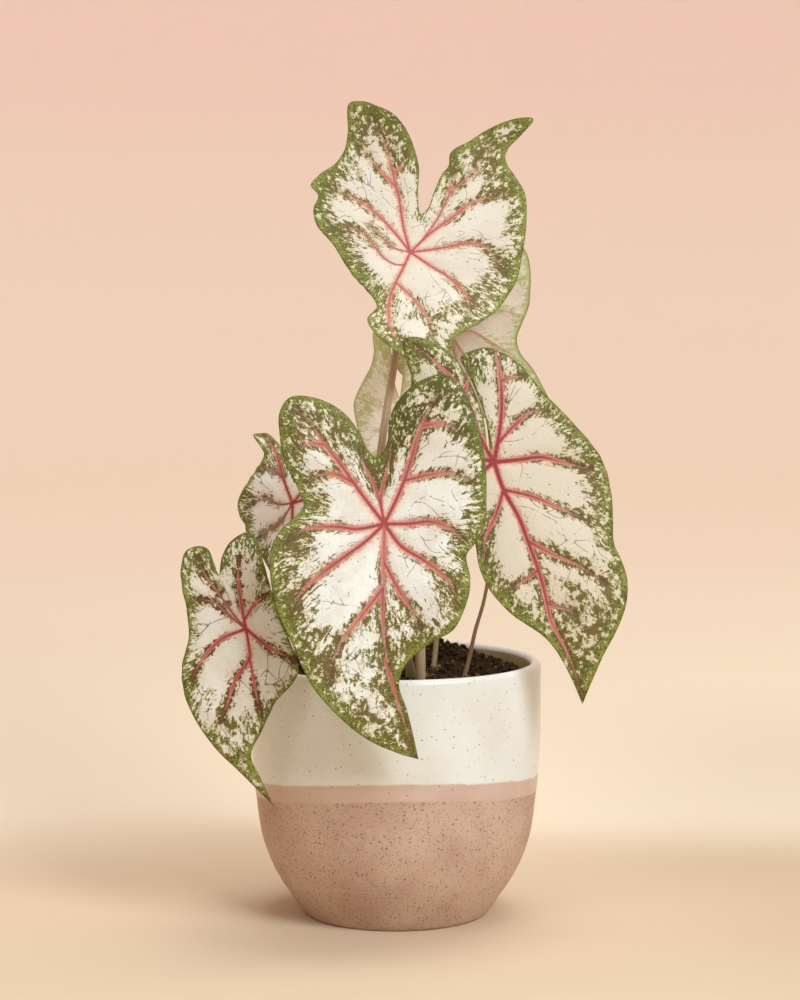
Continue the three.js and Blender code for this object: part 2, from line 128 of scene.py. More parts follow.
class Finish:
    """A material, written as a chain of nodes that ends in its shader."""

    def __init__(self, name):
        self.material = bpy.data.materials.new(name)
        self.material.use_nodes = True
        self.tree = self.material.node_tree
        self.shader = self.tree.nodes["Principled BSDF"]

    def put(self, socket, value):
        """Link another node's output to a socket, or write a constant into it."""
        if isinstance(value, bpy.types.NodeSocket):
            self.tree.links.new(value, socket)
        else:
            socket.default_value = value

    def node(self, kind, settings=None, **inputs):
        made = self.tree.nodes.new(kind)
        for name, value in (settings or {}).items():
            setattr(made, name, value)
        for name, value in inputs.items():
            self.put(made.inputs[name], value)
        return made

    def set(self, **sockets):
        """Give values to the shader's sockets, whose names have underscores here instead of spaces."""
        for name, value in sockets.items():
            self.put(self.shader.inputs[name.replace("_", " ")], value)

    def at_points(self, name, vector=False):
        node = self.node("ShaderNodeAttribute", {"attribute_name": name})
        return node.outputs["Vector" if vector else "Fac"]

    def place(self):
        """Where a point is on the object, in mm."""
        where = self.node("ShaderNodeTexCoord").outputs["Object"]
        return self.scaled(where, 1 / MM)

    def scaled(self, vector, by):
        node = self.node("ShaderNodeVectorMath", {"operation": "MULTIPLY"})
        self.put(node.inputs[0], vector)
        self.put(node.inputs[1], (by, by, by) if isinstance(by, (int, float)) else by)
        return node.outputs[0]

    def shifted(self, vector, by):
        node = self.node("ShaderNodeVectorMath", {"operation": "ADD"})
        self.put(node.inputs[0], vector)
        self.put(node.inputs[1], by)
        return node.outputs[0]

    def joined(self, x, y, z=0.0):
        return self.node("ShaderNodeCombineXYZ", X=x, Y=y, Z=z).outputs[0]

    def axis(self, vector, letter):
        return self.node("ShaderNodeSeparateXYZ", Vector=vector).outputs[letter]

    def calc(self, operation, *values):
        node = self.node("ShaderNodeMath", {"operation": operation})
        for socket, value in zip(node.inputs, values):
            self.put(socket, value)
        return node.outputs[0]

    def times(self, first, second):
        return self.calc("MULTIPLY", first, second)

    def times_plus(self, first, second, third):
        """The first number times the second, plus the third."""
        return self.calc("MULTIPLY_ADD", first, second, third)

    def ease(self, value, low, high, out_low=0.0, out_high=1.0):
        """A soft step: out_low where the value is under low, out_high where it is over high."""
        node = self.node("ShaderNodeMapRange", {"interpolation_type": "SMOOTHSTEP"})
        for socket, number in zip(node.inputs, (value, low, high, out_low, out_high)):
            self.put(socket, number)
        return node.outputs[0]

    def cloud(self, vector, scale, detail=3.0, rough=0.55, warp=0.0):
        node = self.node("ShaderNodeTexNoise", Vector=vector, Scale=scale, Detail=detail,
                         Roughness=rough, Distortion=warp)
        return node.outputs["Fac"]

    def cells(self, vector, scale, feature="F1"):
        return self.node("ShaderNodeTexVoronoi", {"feature": feature}, Vector=vector, Scale=scale)

    def blend(self, share, first, second, way="MIX"):
        node = self.node("ShaderNodeMix", {"data_type": "RGBA", "blend_type": way})
        self.put(node.inputs[0], share)
        self.put(node.inputs[6], first)
        self.put(node.inputs[7], second)
        return node.outputs[2]

    def between(self, share, first, second):
        node = self.node("ShaderNodeMix", {"data_type": "FLOAT"})
        self.put(node.inputs[0], share)
        self.put(node.inputs[2], first)
        self.put(node.inputs[3], second)
        return node.outputs[0]

    def specks(self, vector, scale, size, share):
        """Dots in a share of the cells of a net: 1 inside a dot."""
        net = self.cells(vector, scale)
        chosen = self.calc("LESS_THAN", self.axis(net.outputs["Color"], "X"), share)
        dot = self.ease(net.outputs["Distance"], size * 1.25, size * 0.75)
        return self.times(dot, chosen)

    def relief(self, height, strength, depth):
        node = self.node("ShaderNodeBump", Height=height, Strength=strength, Distance=depth * MM)
        self.put(self.shader.inputs["Normal"], node.outputs[0])


print("helpers are ready")

# %% [markdown]
# ## Smooth lines through a few points
# Outlines, veins and stalks are each given by a handful of points. A centripetal Catmull-Rom curve passes
# through all of them without the loops and bulges that other splines make where points lie unevenly.

# %% Draw a smooth line
def smooth_line(points, step):
    """Points about a step apart on a curve through the given ones, which stay its ends."""
    points = np.asarray(points, dtype=float)
    ends = (2 * points[0] - points[1], 2 * points[-1] - points[-2])
    points = np.vstack([ends[0], points, ends[1]])
    gaps = np.sqrt(np.linalg.norm(np.diff(points, axis=0), axis=1)).clip(1e-3)
    line = []
    for i in range(1, len(points) - 2):
        p0, p1, p2, p3 = points[i - 1:i + 3]
        g0, g1, g2 = gaps[i - 1:i + 2]
        slope1 = ((p1 - p0) / g0 - (p2 - p0) / (g0 + g1) + (p2 - p1) / g1) * g1
        slope2 = ((p2 - p1) / g1 - (p3 - p1) / (g1 + g2) + (p3 - p2) / g2) * g1
        count = max(int(np.linalg.norm(p2 - p1) / step * 4), 4)
        t = np.linspace(0, 1, count, endpoint=False)[:, None]
        line.append((2 * t**3 - 3 * t**2 + 1) * p1 + (t**3 - 2 * t**2 + t) * slope1
                    + (3 * t**2 - 2 * t**3) * p2 + (t**3 - t**2) * slope2)
    line.append(points[-2:-1])
    return even_steps(np.vstack(line), step)


def even_steps(line, step):
    run = np.concatenate([[0], np.cumsum(np.linalg.norm(np.diff(line, axis=0), axis=1))])
    wanted = np.linspace(0, run[-1], max(round(run[-1] / step), 1) + 1)
    return np.stack([np.interp(wanted, run, line[:, axis]) for axis in range(line.shape[1])], axis=1)


# %% Measure how far points are from lines
def nearest(points, starts, ends):
    """For each point the nearest stretch between a start and an end: its number, distance and share."""
    best = np.full(len(points), 1e9)
    which = np.zeros(len(points), dtype=int)
    share = np.zeros(len(points))
    for i, (a, b) in enumerate(zip(starts, ends)):
        along = b - a
        t = ((points - a) @ along / max(along @ along, 1e-9)).clip(0, 1)
        away = np.linalg.norm(points - a - t[:, None] * along, axis=1)
        closer = away < best
        best[closer], which[closer], share[closer] = away[closer], i, t[closer]
    return which, best, share


print("a test line has", len(smooth_line([(0, 0), (30, 5), (60, 0)], 1.0)), "points")

# %% [markdown]
# ## The pot
# The pot is stoneware, thrown on a wheel: steep at the rim, round below, with a flat foot. Its upper
# half was dipped in a cream glaze, which runs out into a narrow pink band, and the lower half is bare
# speckled clay. Turning a profile about the upright axis is just what the wheel does. A hand-thrown wall
# is never quite true, so the radius also wanders by a few tenths of a millimetre, and the glaze, a skin
# of its own, stands out by another two tenths.

# %% Trace the pot's profile
POT_WALL = 6
POT_FLOOR = 8
POT_HEIGHT = 140
POT_BASE_EDGE = 1.4
POT_BASE_RADIUS = 52
POT_RIM_RADIUS = 80
POT_INNER_FLOOR_RADIUS = 44
POT_SIDE = [(POT_BASE_RADIUS, POT_BASE_EDGE), (57.4, 9), (67, 24), (74, 42), (77.6, 66), (79.5, 94),
            (POT_RIM_RADIUS, POT_HEIGHT - POT_WALL / 2)]
INSIDE_LOW = 22           # where the inner wall runs out into the curve of the floor
WALL_STEP = 1.5
FLOOR_STEP = 2.5
LIP_POINTS = 12

outside = smooth_line(POT_SIDE, WALL_STEP)
lip_centre = np.array([POT_RIM_RADIUS - POT_WALL / 2, POT_HEIGHT - POT_WALL / 2])
lip_angles = np.radians(np.linspace(0, 180, LIP_POINTS + 2)[1:-1])
lip = lip_centre + POT_WALL / 2 * np.stack([np.cos(lip_angles), np.sin(lip_angles)], axis=1)
inside = outside[outside[:, 1] > INSIDE_LOW][::-1] - (POT_WALL, 0)
floor_bend = [(POT_INNER_FLOOR_RADIUS + 3, 11), (POT_INNER_FLOOR_RADIUS - 4, POT_FLOOR)]
floor_curve = smooth_line([inside[-1], *floor_bend, (0, POT_FLOOR)], FLOOR_STEP)[1:]
foot_edge = [(POT_BASE_RADIUS - POT_BASE_EDGE, 0), (POT_BASE_RADIUS, POT_BASE_EDGE)]
foot = smooth_line([(0, 0), *foot_edge], WALL_STEP)[:-1]
foot[:, 1] = foot[:, 1].clip(0)
pot_profile = np.vstack([foot, outside, lip, inside, floor_curve])
print("the pot's profile has", len(pot_profile), "points")


# %% Turn a profile into a solid
def turned(profile, sides):
    """Points and faces of a profile turned about Z. Its first and last points lie on the axis."""
    angles = np.linspace(0, 2 * math.pi, sides, endpoint=False)
    rings = profile[1:-1]
    points = np.empty((len(rings), sides, 3))
    points[:, :, 0] = rings[:, 0:1] * np.sin(angles)
    points[:, :, 1] = rings[:, 0:1] * -np.cos(angles)
    points[:, :, 2] = rings[:, 1:2]
    points = np.vstack([points.reshape(-1, 3), (0, 0, profile[0, 1]), (0, 0, profile[-1, 1])])
    first, last = len(points) - 2, len(points) - 1
    faces = []
    for ring in range(len(rings) - 1):
        for side in range(sides):
            here, after = ring * sides + side, ring * sides + (side + 1) % sides
            faces.append((here, after, after + sides, here + sides))
    top = (len(rings) - 1) * sides
    for side in range(sides):
        after = (side + 1) % sides
        faces.append((first, after, side))
        faces.append((last, top + side, top + after))
    return points, faces


# %% Dip the glaze
POT_SIDES = 224
GLAZE_LINE = 80.7         # middle height of the edge of the cream glaze
GLAZE_SWAY = 4.2          # the edge lies this much higher in front and behind than at the sides
GLAZE_TILT = 1.2
GLAZE_SKIN = 0.2
GLAZE_ROUND = 0.5         # how softly the skin of glaze begins
BAND_WIDTH = 9            # the pink band below the cream
WALL_WANDER = 0.22
WANDER_SIZE = 38
WHEEL_RING = 0.05         # how far the rings left by the fingers stand out
TRUE_UP_TO = 2            # the foot is true up to this height, and the wall wanders fully
FULL_WANDER_FROM = 14     # from this one on
INNER_MARK = 60           # added to a height on the inner wall, so that its finish can be another

pot_points, pot_faces = turned(pot_profile, POT_SIDES)
pot_angle = np.arctan2(pot_points[:, 0], -pot_points[:, 1])
glaze_edge = GLAZE_LINE + GLAZE_SWAY * np.cos(2 * pot_angle) + GLAZE_TILT * np.sin(pot_angle)
above_glaze = pot_points[:, 2] - glaze_edge
radius = np.hypot(pot_points[:, 0], pot_points[:, 1])
inner_side = np.zeros(len(pot_points), dtype=bool)
inner_start = (len(foot) - 1 + len(outside) + len(lip)) * POT_SIDES
inner_side[inner_start:-2] = True
glazed = (1 / (1 + np.exp(-(above_glaze + BAND_WIDTH) / GLAZE_ROUND))) * ~inner_side
wander = np.array([noise.noise(Vector(point) / WANDER_SIZE) for point in pot_points]) * WALL_WANDER
wheel_rings = WHEEL_RING * np.sin(pot_points[:, 2] * 0.9 + 1.5 * np.sin(pot_angle))
upright = (pot_points[:, 2] - TRUE_UP_TO) / (FULL_WANDER_FROM - TRUE_UP_TO)
upright = upright.clip(0, 1) * ~inner_side
push = (wander + wheel_rings + GLAZE_SKIN * (glazed - 1)) * upright
pot_points[:, :2] *= (1 + push / radius.clip(1))[:, None]
print("the wall wanders by up to", round(float(abs(push).max()), 2), "mm")


# %% [markdown]
# ## Stoneware finishes
# Speckled stoneware gets its dots from iron grains that melt in the kiln. They are scattered through
# the clay, so a net of cells in space, cut by the surface, gives them truer sizes than dots painted on
# it. The glaze hides most of them. It is smooth and glossy, where the bare clay is rough and
# fine-grained.

# %% Mix the glaze and the clay
CREAM_GLAZE = colour(229, 233, 230)
CREAM_WARM = colour(223, 223, 213)
CREAM_INSIDE_SHADE = colour(212, 200, 160)
PINK_BAND = colour(203, 176, 160)
PINK_LIGHT = colour(209, 186, 170)
CLAY = colour(200, 171, 151)
CLAY_SHADE = colour(182, 150, 131)
CLAY_LIGHT = colour(214, 190, 172)
IRON = colour(118, 78, 56)
FAINT_IRON = colour(176, 140, 110)


def stoneware():
    finish = Finish("speckled_stoneware")
    place = finish.place()
    height = finish.at_points("above_glaze")
    edge = finish.calc("ADD", height, finish.times_plus(finish.cloud(place, 0.09), 2.0, -1.0))
    cream_share = finish.ease(edge, -0.7, 0.9)
    band_share = finish.ease(edge, -BAND_WIDTH - 0.9, -BAND_WIDTH + 0.7)

    grain = finish.cloud(place, 0.45, 4, 0.7)
    clay = finish.blend(finish.ease(finish.cloud(place, 0.03, 3), 0.35, 0.65), CLAY_SHADE, CLAY)
    clay = finish.blend(finish.times(grain, 0.35), clay, CLAY_LIGHT)
    fine = finish.specks(place, 0.85, 0.26, 0.6)
    coarse = finish.specks(finish.shifted(place, (31, 7, 3)), 0.4, 0.2, 0.5)
    clay = finish.blend(finish.times(fine, 0.8), clay, IRON)
    clay = finish.blend(finish.times(coarse, 0.85), clay, IRON)

    band = finish.blend(finish.ease(finish.cloud(place, 0.04), 0.4, 0.7), PINK_BAND, PINK_LIGHT)
    cream = finish.blend(finish.ease(finish.cloud(place, 0.02), 0.35, 0.7), CREAM_GLAZE, CREAM_WARM)
    # painted shade: the inner wall is a darker cream, for the shade inside the pot
    cream = finish.blend(finish.ease(height, INNER_MARK + 4.0, INNER_MARK + 40.0), cream, CREAM_INSIDE_SHADE)
    sparse = finish.specks(place, 0.24, 0.1, 0.55)
    faint = finish.specks(finish.shifted(place, (9, 40, 11)), 0.36, 0.13, 0.5)
    glaze = finish.blend(cream_share, band, cream)
    glaze = finish.blend(finish.times(faint, 0.6), glaze, FAINT_IRON)
    glaze = finish.blend(finish.times(sparse, 0.8), glaze, IRON)

    finish.set(Base_Color=finish.blend(band_share, clay, glaze))
    rough_clay = finish.times_plus(grain, 0.2, 0.62)
    smooth_glaze = finish.times_plus(finish.cloud(place, 0.15), 0.12, 0.26)
    finish.set(Roughness=finish.between(band_share, rough_clay, smooth_glaze))
    pits = finish.cloud(place, 1.4, 5, 0.7)
    waves = finish.times(finish.cloud(place, 0.06, 2), 1.6)
    bare = finish.calc("SUBTRACT", 1.0, band_share)
    finish.relief(finish.times_plus(pits, bare, waves), 0.35, 0.5)
    return finish.material


pot = piece_from("pot_stoneware", pot_points, pot_faces, [stoneware()])
keep_at_points(pot, "above_glaze", above_glaze + INNER_MARK * inner_side)
stands_for(pot, "pot")

# %% [markdown]
# ## The soil
# Potting soil is dark, damp and crumbly, heaped a little round the stalks and lower at the wall. Its
# surface is a mound whose height is known everywhere, roughened by noise of three sizes. Noise alone
# looks like a blanket, though, so a few thousand separate crumbs lie half sunk in it, with bits of pale
# fibre and the thin green sprigs of moss.

# %% Heap the soil
SOIL_EDGE_HEIGHT = 127
SOIL_CROWN = (0, 22)
SOIL_CROWN_RISE = 22
SOIL_CROWN_SPREAD = 54
SOIL_LUMP = 1.3
SOIL_GRAINS = ((7.0, 1.1), (2.6, 0.9), (1.1, 0.45))   # size and height of each kind of roughness
SOIL_RINGS = 84
SOIL_SIDES = 240
SOIL_SIDE_RINGS = 14
SOIL_SHOULDER = 3         # how far below its edge the side of the soil ends
CLEARANCE = 0.3           # between the soil and the pot


def wall_radius(height):
    return np.interp(height, outside[:, 1], outside[:, 0])


def soil_height(x, y):
    crown = np.hypot(x - SOIL_CROWN[0], y - SOIL_CROWN[1]) / SOIL_CROWN_SPREAD
    lumps = np.sin(0.31 * x + 0.8) * np.cos(0.27 * y) + 0.7 * np.sin(0.22 * x - 0.37 * y)
    return SOIL_EDGE_HEIGHT + SOIL_CROWN_RISE * np.exp(-crown * crown) + SOIL_LUMP * lumps


def crumble(x, y):
    rough = 0.0
    for size, height in SOIL_GRAINS:
        rough += height * noise.noise(Vector((x / size, y / size, size)))
    return rough


soil_radius = wall_radius(SOIL_EDGE_HEIGHT) - POT_WALL - CLEARANCE
sunk_heights = np.linspace(INSIDE_LOW, SOIL_EDGE_HEIGHT - SOIL_SHOULDER, SOIL_SIDE_RINGS)
sunk_wall = [(wall_radius(z) - POT_WALL - CLEARANCE, z) for z in sunk_heights]
soil_top = [(soil_radius * share, SOIL_EDGE_HEIGHT) for share in np.linspace(1, 0, SOIL_RINGS)]
soil_bottom = [(0, POT_FLOOR + CLEARANCE), (POT_INNER_FLOOR_RADIUS - 3, POT_FLOOR + CLEARANCE)]
soil_points, soil_faces = turned(np.array(soil_bottom + sunk_wall + soil_top), SOIL_SIDES)
on_top = soil_points[:, 2] > SOIL_EDGE_HEIGHT - 1
for i in np.flatnonzero(on_top):
    x, y = soil_points[i, :2]
    soil_points[i, 2] = soil_height(x, y) + crumble(x, y)
print("soil mound:", on_top.sum(), "points on top")

# %% Shape a ball for the crumbs
GOLD = (1 + math.sqrt(5)) / 2
BALL = np.array([(-1, GOLD, 0), (1, GOLD, 0), (-1, -GOLD, 0), (1, -GOLD, 0), (0, -1, GOLD), (0, 1, GOLD),
                 (0, -1, -GOLD), (0, 1, -GOLD), (GOLD, 0, -1), (GOLD, 0, 1), (-GOLD, 0, -1),
                 (-GOLD, 0, 1)])
BALL /= np.linalg.norm(BALL[0])
BALL_FACES = [(0, 11, 5), (0, 5, 1), (0, 1, 7), (0, 7, 10), (0, 10, 11), (1, 5, 9), (5, 11, 4),
              (11, 10, 2), (10, 7, 6), (7, 1, 8), (3, 9, 4), (3, 4, 2), (3, 2, 6), (3, 6, 8), (3, 8, 9),
              (4, 9, 5), (2, 4, 11), (6, 2, 10), (8, 6, 7), (9, 8, 1)]
print("a crumb starts as a ball with", len(BALL_FACES), "faces")

# %% Scatter the crumbs
CRUMBS = 3600
CRUMB_SIZES = (0.5, 2.3)
CRUMB_BIAS = 2.6          # the higher this is, the more of the crumbs are small
CRUMB_MARGIN = 2          # how far from the pot's wall the middle of a crumb stays
CRUMB_LIFT = 0.25         # how far a crumb's middle stands above the ground, against its own half height
FIBRES = 150
FIBRE_LENGTHS = (2.5, 6)
FIBRE_THICKNESS = 0.3
SPRIGS = 420
SPRIG_FOOT = (0.3, 0.22)
SPRIG_LENGTHS = (0.8, 2.2)
LEAN = 0.35
DARK_TONES = (0, 0.62)    # tones tell the finish what a crumb is: earth here,
PALE_TONES = (0.75, 1)    # fibre or a pale crumb here,
MOSS_TONES = (1.2, 2.0)   # and moss here
MOUND_TONE = 0.3
PALE_SHARE = 0.02
MOSS_SHARE = 0.1

draw = random.Random(11)
soil_parts = [soil_points]
soil_tone = [np.full(len(soil_points), MOUND_TONE)]
start = len(soil_points)
for number in range(CRUMBS + FIBRES + SPRIGS):
    away = (soil_radius - CRUMB_MARGIN) * math.sqrt(draw.random())
    turn = draw.uniform(0, 2 * math.pi)
    x, y = away * math.sin(turn), -away * math.cos(turn)
    size = CRUMB_SIZES[0] + (CRUMB_SIZES[1] - CRUMB_SIZES[0]) * draw.random() ** CRUMB_BIAS
    stretch = np.array([draw.uniform(0.7, 1.3), draw.uniform(0.7, 1.2), draw.uniform(0.55, 1)]) * size
    if number >= CRUMBS + FIBRES:
        stretch = np.array([*SPRIG_FOOT, draw.uniform(*SPRIG_LENGTHS)])
    elif number >= CRUMBS:
        stretch = np.array([draw.uniform(*FIBRE_LENGTHS), FIBRE_THICKNESS, FIBRE_THICKNESS])
    tilt = np.array(Vector((draw.gauss(0, LEAN), draw.gauss(0, LEAN), 1)).normalized())
    spin = draw.uniform(0, 2 * math.pi)
    side = np.cross(tilt, (math.cos(spin), math.sin(spin), 0))
    side /= np.linalg.norm(side)
    axes = np.array([side, np.cross(tilt, side), tilt])
    dents = np.array([draw.uniform(0.75, 1.15) for _ in BALL])[:, None]
    ground = soil_height(x, y) + crumble(x, y) + CRUMB_LIFT * stretch[2]
    soil_parts.append((BALL * dents * stretch) @ axes + (x, y, ground))
    soil_faces += [(a + start, b + start, c + start) for a, b, c in BALL_FACES]
    tone = draw.uniform(*DARK_TONES)
    if number >= CRUMBS + FIBRES or draw.random() < MOSS_SHARE:
        tone = draw.uniform(*MOSS_TONES)
    elif number >= CRUMBS or draw.random() < PALE_SHARE:
        tone = draw.uniform(*PALE_TONES)
    soil_tone.append(np.full(len(BALL), tone))
    start += len(BALL)
print("soil:", CRUMBS, "crumbs,", FIBRES, "fibres and", SPRIGS, "sprigs of moss")

# %% Colour the soil
WET_EARTH = colour(37, 27, 14)
DRIER_EARTH = colour(78, 60, 35)
DAMP_PATCH = colour(54, 39, 21)
PALE_FIBRE = colour(142, 118, 80)
MOSS = colour(102, 98, 48)


def earth():
    finish = Finish("damp_earth")
    place = finish.place()
    tone = finish.at_points("tone")
    dark = finish.blend(finish.ease(tone, 0.0, 0.6), WET_EARTH, DRIER_EARTH)
    dark = finish.blend(finish.ease(finish.cloud(place, 0.5, 4), 0.45, 0.7), dark, DAMP_PATCH)
    earthy = finish.blend(finish.ease(tone, 0.68, 0.98), dark, PALE_FIBRE)
    finish.set(Base_Color=finish.blend(finish.ease(tone, 1.2, 1.8), earthy, MOSS))
    finish.set(Roughness=finish.times_plus(finish.cloud(place, 0.8), 0.3, 0.65), Specular_IOR_Level=0.15)
    finish.relief(finish.cloud(place, 1.8, 5, 0.7), 0.9, 0.8)
    return finish.material


soil = piece_from("soil_mound", np.vstack(soil_parts), soil_faces, [earth()])
keep_at_points(soil, "tone", np.concatenate(soil_tone))
stands_for(soil, "soil")

# %% [markdown]
# ## The tuber
# The tuber is the flattened, corky ball that all the stalks grow from. It lies buried, and its solid
# already has the right form, so it stays as it is and only gets a bark: brown cork with rings where old
# leaves were, and lighter knobs.

# %% Bark for the tuber
CORK = colour(84, 56, 36)
CORK_KNOBS = colour(132, 97, 66)
CORK_RINGS = colour(58, 38, 24)


def bark():
    finish = Finish("tuber_bark")
    place = finish.place()
    height = finish.axis(place, "Z")
    rings = finish.calc("SINE", finish.times_plus(height, 1.3, finish.cloud(place, 0.12, 4)))
    knobs = finish.ease(finish.cloud(place, 0.2, 5, 0.65), 0.35, 0.65)
    brown = finish.blend(knobs, CORK, CORK_KNOBS)
    finish.set(Base_Color=finish.blend(finish.ease(rings, 0.3, 0.95, 0.0, 0.5), brown, CORK_RINGS))
    finish.set(Roughness=finish.times_plus(finish.cloud(place, 0.7), 0.25, 0.7))
    finish.relief(finish.calc("ADD", rings, finish.cloud(place, 0.9, 5, 0.7)), 0.6, 0.6)
    return finish.material


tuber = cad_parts["tuber"]
tuber_bark = bark()
if not tuber.material_slots:
    tuber.data.materials.append(tuber_bark)
for slot in tuber.material_slots:
    slot.material = tuber_bark
print("the tuber wears", tuber.material_slots[0].material.name)

# %% [markdown]
# ## The leaves, drawn flat
# A caladium leaf is an arrowhead-shaped heart: a tip, two lobes, a sinus between them, and a stalk that
# meets the blade inside its outline, at the junction. Each leaf is drawn flat first, in millimetres, with
# the junction at (0, 0), the tip towards -v and the lobes towards +v. The edge runs from the sinus down
# the right side to the tip and back up the left. Bends then curl the flat blade without stretching it,
# as a sheet of paper curls, and the same bends shaped the plain solid. Each bend says where its line
# lies, which way it rolls, over how many millimetres and by how many degrees.
#
# Ribs leave the junction, and twigs branch off them: each line of points is a vein. Spots say where green
# gathers: place, radius and strength. Near the slit (place and radius) the green edge is thin, and the
# painted shade spot (place, radius and strength) is where all colours are painted deeper, as shade. The
# other numbers tune each leaf: how green it is, how much painted shade or painted light its cream gets,
# how much light its blade lets through, how toothed, red, stout and glowing its veins are, and which of
# them, counted from 0 with the ribs first, have a pale core or are thin.

# %% Start the book of leaves
LEAVES = {}

# %% [markdown]
# ### The front leaf
# The largest leaf and the nearest one. It hangs before the rim of the pot with its tip turned aside.
# Its blade shows whole, so it has the most veins, and its cream is unshaded but for a spot of painted
# shade on the upper right lobe. The middle rib below the junction has a pale core.

# %% Draw the front leaf
LEAVES["front"] = dict(
    junction=(-6, -78, 222), azimuth=-3, tilt=20, roll=0, crease=0.07, ruffle=(1.4, 6, 30),
    bends=[((-35, 40), 135, 40, -22), ((32, 45), 60, 40, -18), ((0, 10), 90, 60, 8),
           ((0, -50), -90, 60, -16)],
    sinus=(-5, 36), tip=(19, -123),
    right=[(-1, 39), (1, 45), (2, 57), (7, 67), (16, 75), (29, 79), (38, 74), (46, 59), (52, 34),
           (53, 14), (52, -2), (47, -11), (43, -17), (45, -29), (44, -40), (37, -56), (25, -63),
           (13, -73), (9, -84), (13, -97), (16, -109)],
    left=[(9, -120), (-6, -113), (-23, -99), (-36, -84), (-46, -64), (-54, -47), (-58, -30), (-58, -15),
          (-53, -4), (-46, 3), (-42, 9), (-44, 15), (-48, 24), (-52, 31), (-55, 45), (-55, 59), (-50, 67),
          (-37, 67), (-24, 61), (-15, 51), (-10, 41)],
    ribs=[[(0, 0), (-13, 17), (-23, 31), (-32, 42), (-39, 53), (-46, 61)],
          [(0, 0), (6, 13), (11, 26), (16, 44), (21, 58), (28, 70)],
          [(0, 0), (-14, -3), (-26, -2), (-41, -4), (-50, -10)],
          [(0, 0), (13, 0), (24, 1), (33, -2), (44, -11)],
          [(0, 0), (-10, -10), (-23, -20), (-34, -29), (-42, -37), (-48, -50)],
          [(0, 0), (9, -12), (20, -19), (29, -26), (36, -34), (39, -44)], [(0, 0), (0, -21), (0, -40)]],
    twigs=[[(-32, 42), (-41, 42), (-49, 38)], [(-17, 22), (-25, 26), (-33, 26), (-40, 22)],
           [(19, 52), (30, 53), (41, 48)], [(10, 23), (22, 26), (33, 27), (46, 22)],
           [(0, -20), (8, -35), (15, -46), (20, -57)],
           [(0, -34), (-9, -47), (-17, -58), (-23, -67), (-26, -82)],
           [(0, 0), (-3, 13), (-7, 24), (-11, 32), (-13, 42)],
           [(0, 0), (-2, 14), (0, 25), (2, 34), (3, 42)], [(0, -34), (0, -46), (1, -60), (4, -80)],
           [(2, -72), (4, -79), (8, -92), (13, -108), (17, -124)]],
    spots=[(-49, 51, 9, 0.5), (-22, 54, 12, 0.65), (11, 52, 11, 0.6), (29, 71, 11, 0.5), (44, 50, 9, 0.5),
           (47, 3, 6, 0.35), (37, -36, 12, 0.5), (6, -50, 10, 0.45), (16, -64, 11, 0.5),
           (-47, -15, 11, 0.65), (-37, 11, 8, 0.5), (-47, -46, 15, 0.55), (-33, -70, 17, 0.55),
           (-17, -103, 13, 0.5), (3, -111, 12, 0.5), (-4, 32, 5, 1.2), (-4, 26, 4, 1.2), (-4, 20, 3, 0.9),
           (0, -84, 8, 0.4), (-7, -54, 7, 0.35), (-5, -72, 8, 0.4), (2, -64, 5, 0.45),
           (-14, -84, 7, 0.35)],
    slit=(-5, 36, 6), dusk=(18, 55, 36, 1.0), green=0.84, shade=0.0, light=0.0, sheer=0.0,
    comb=0.6, red=0.75, stout=1.0, glow=1.0, pale=(6,), thin=(13, 14, 15, 16))
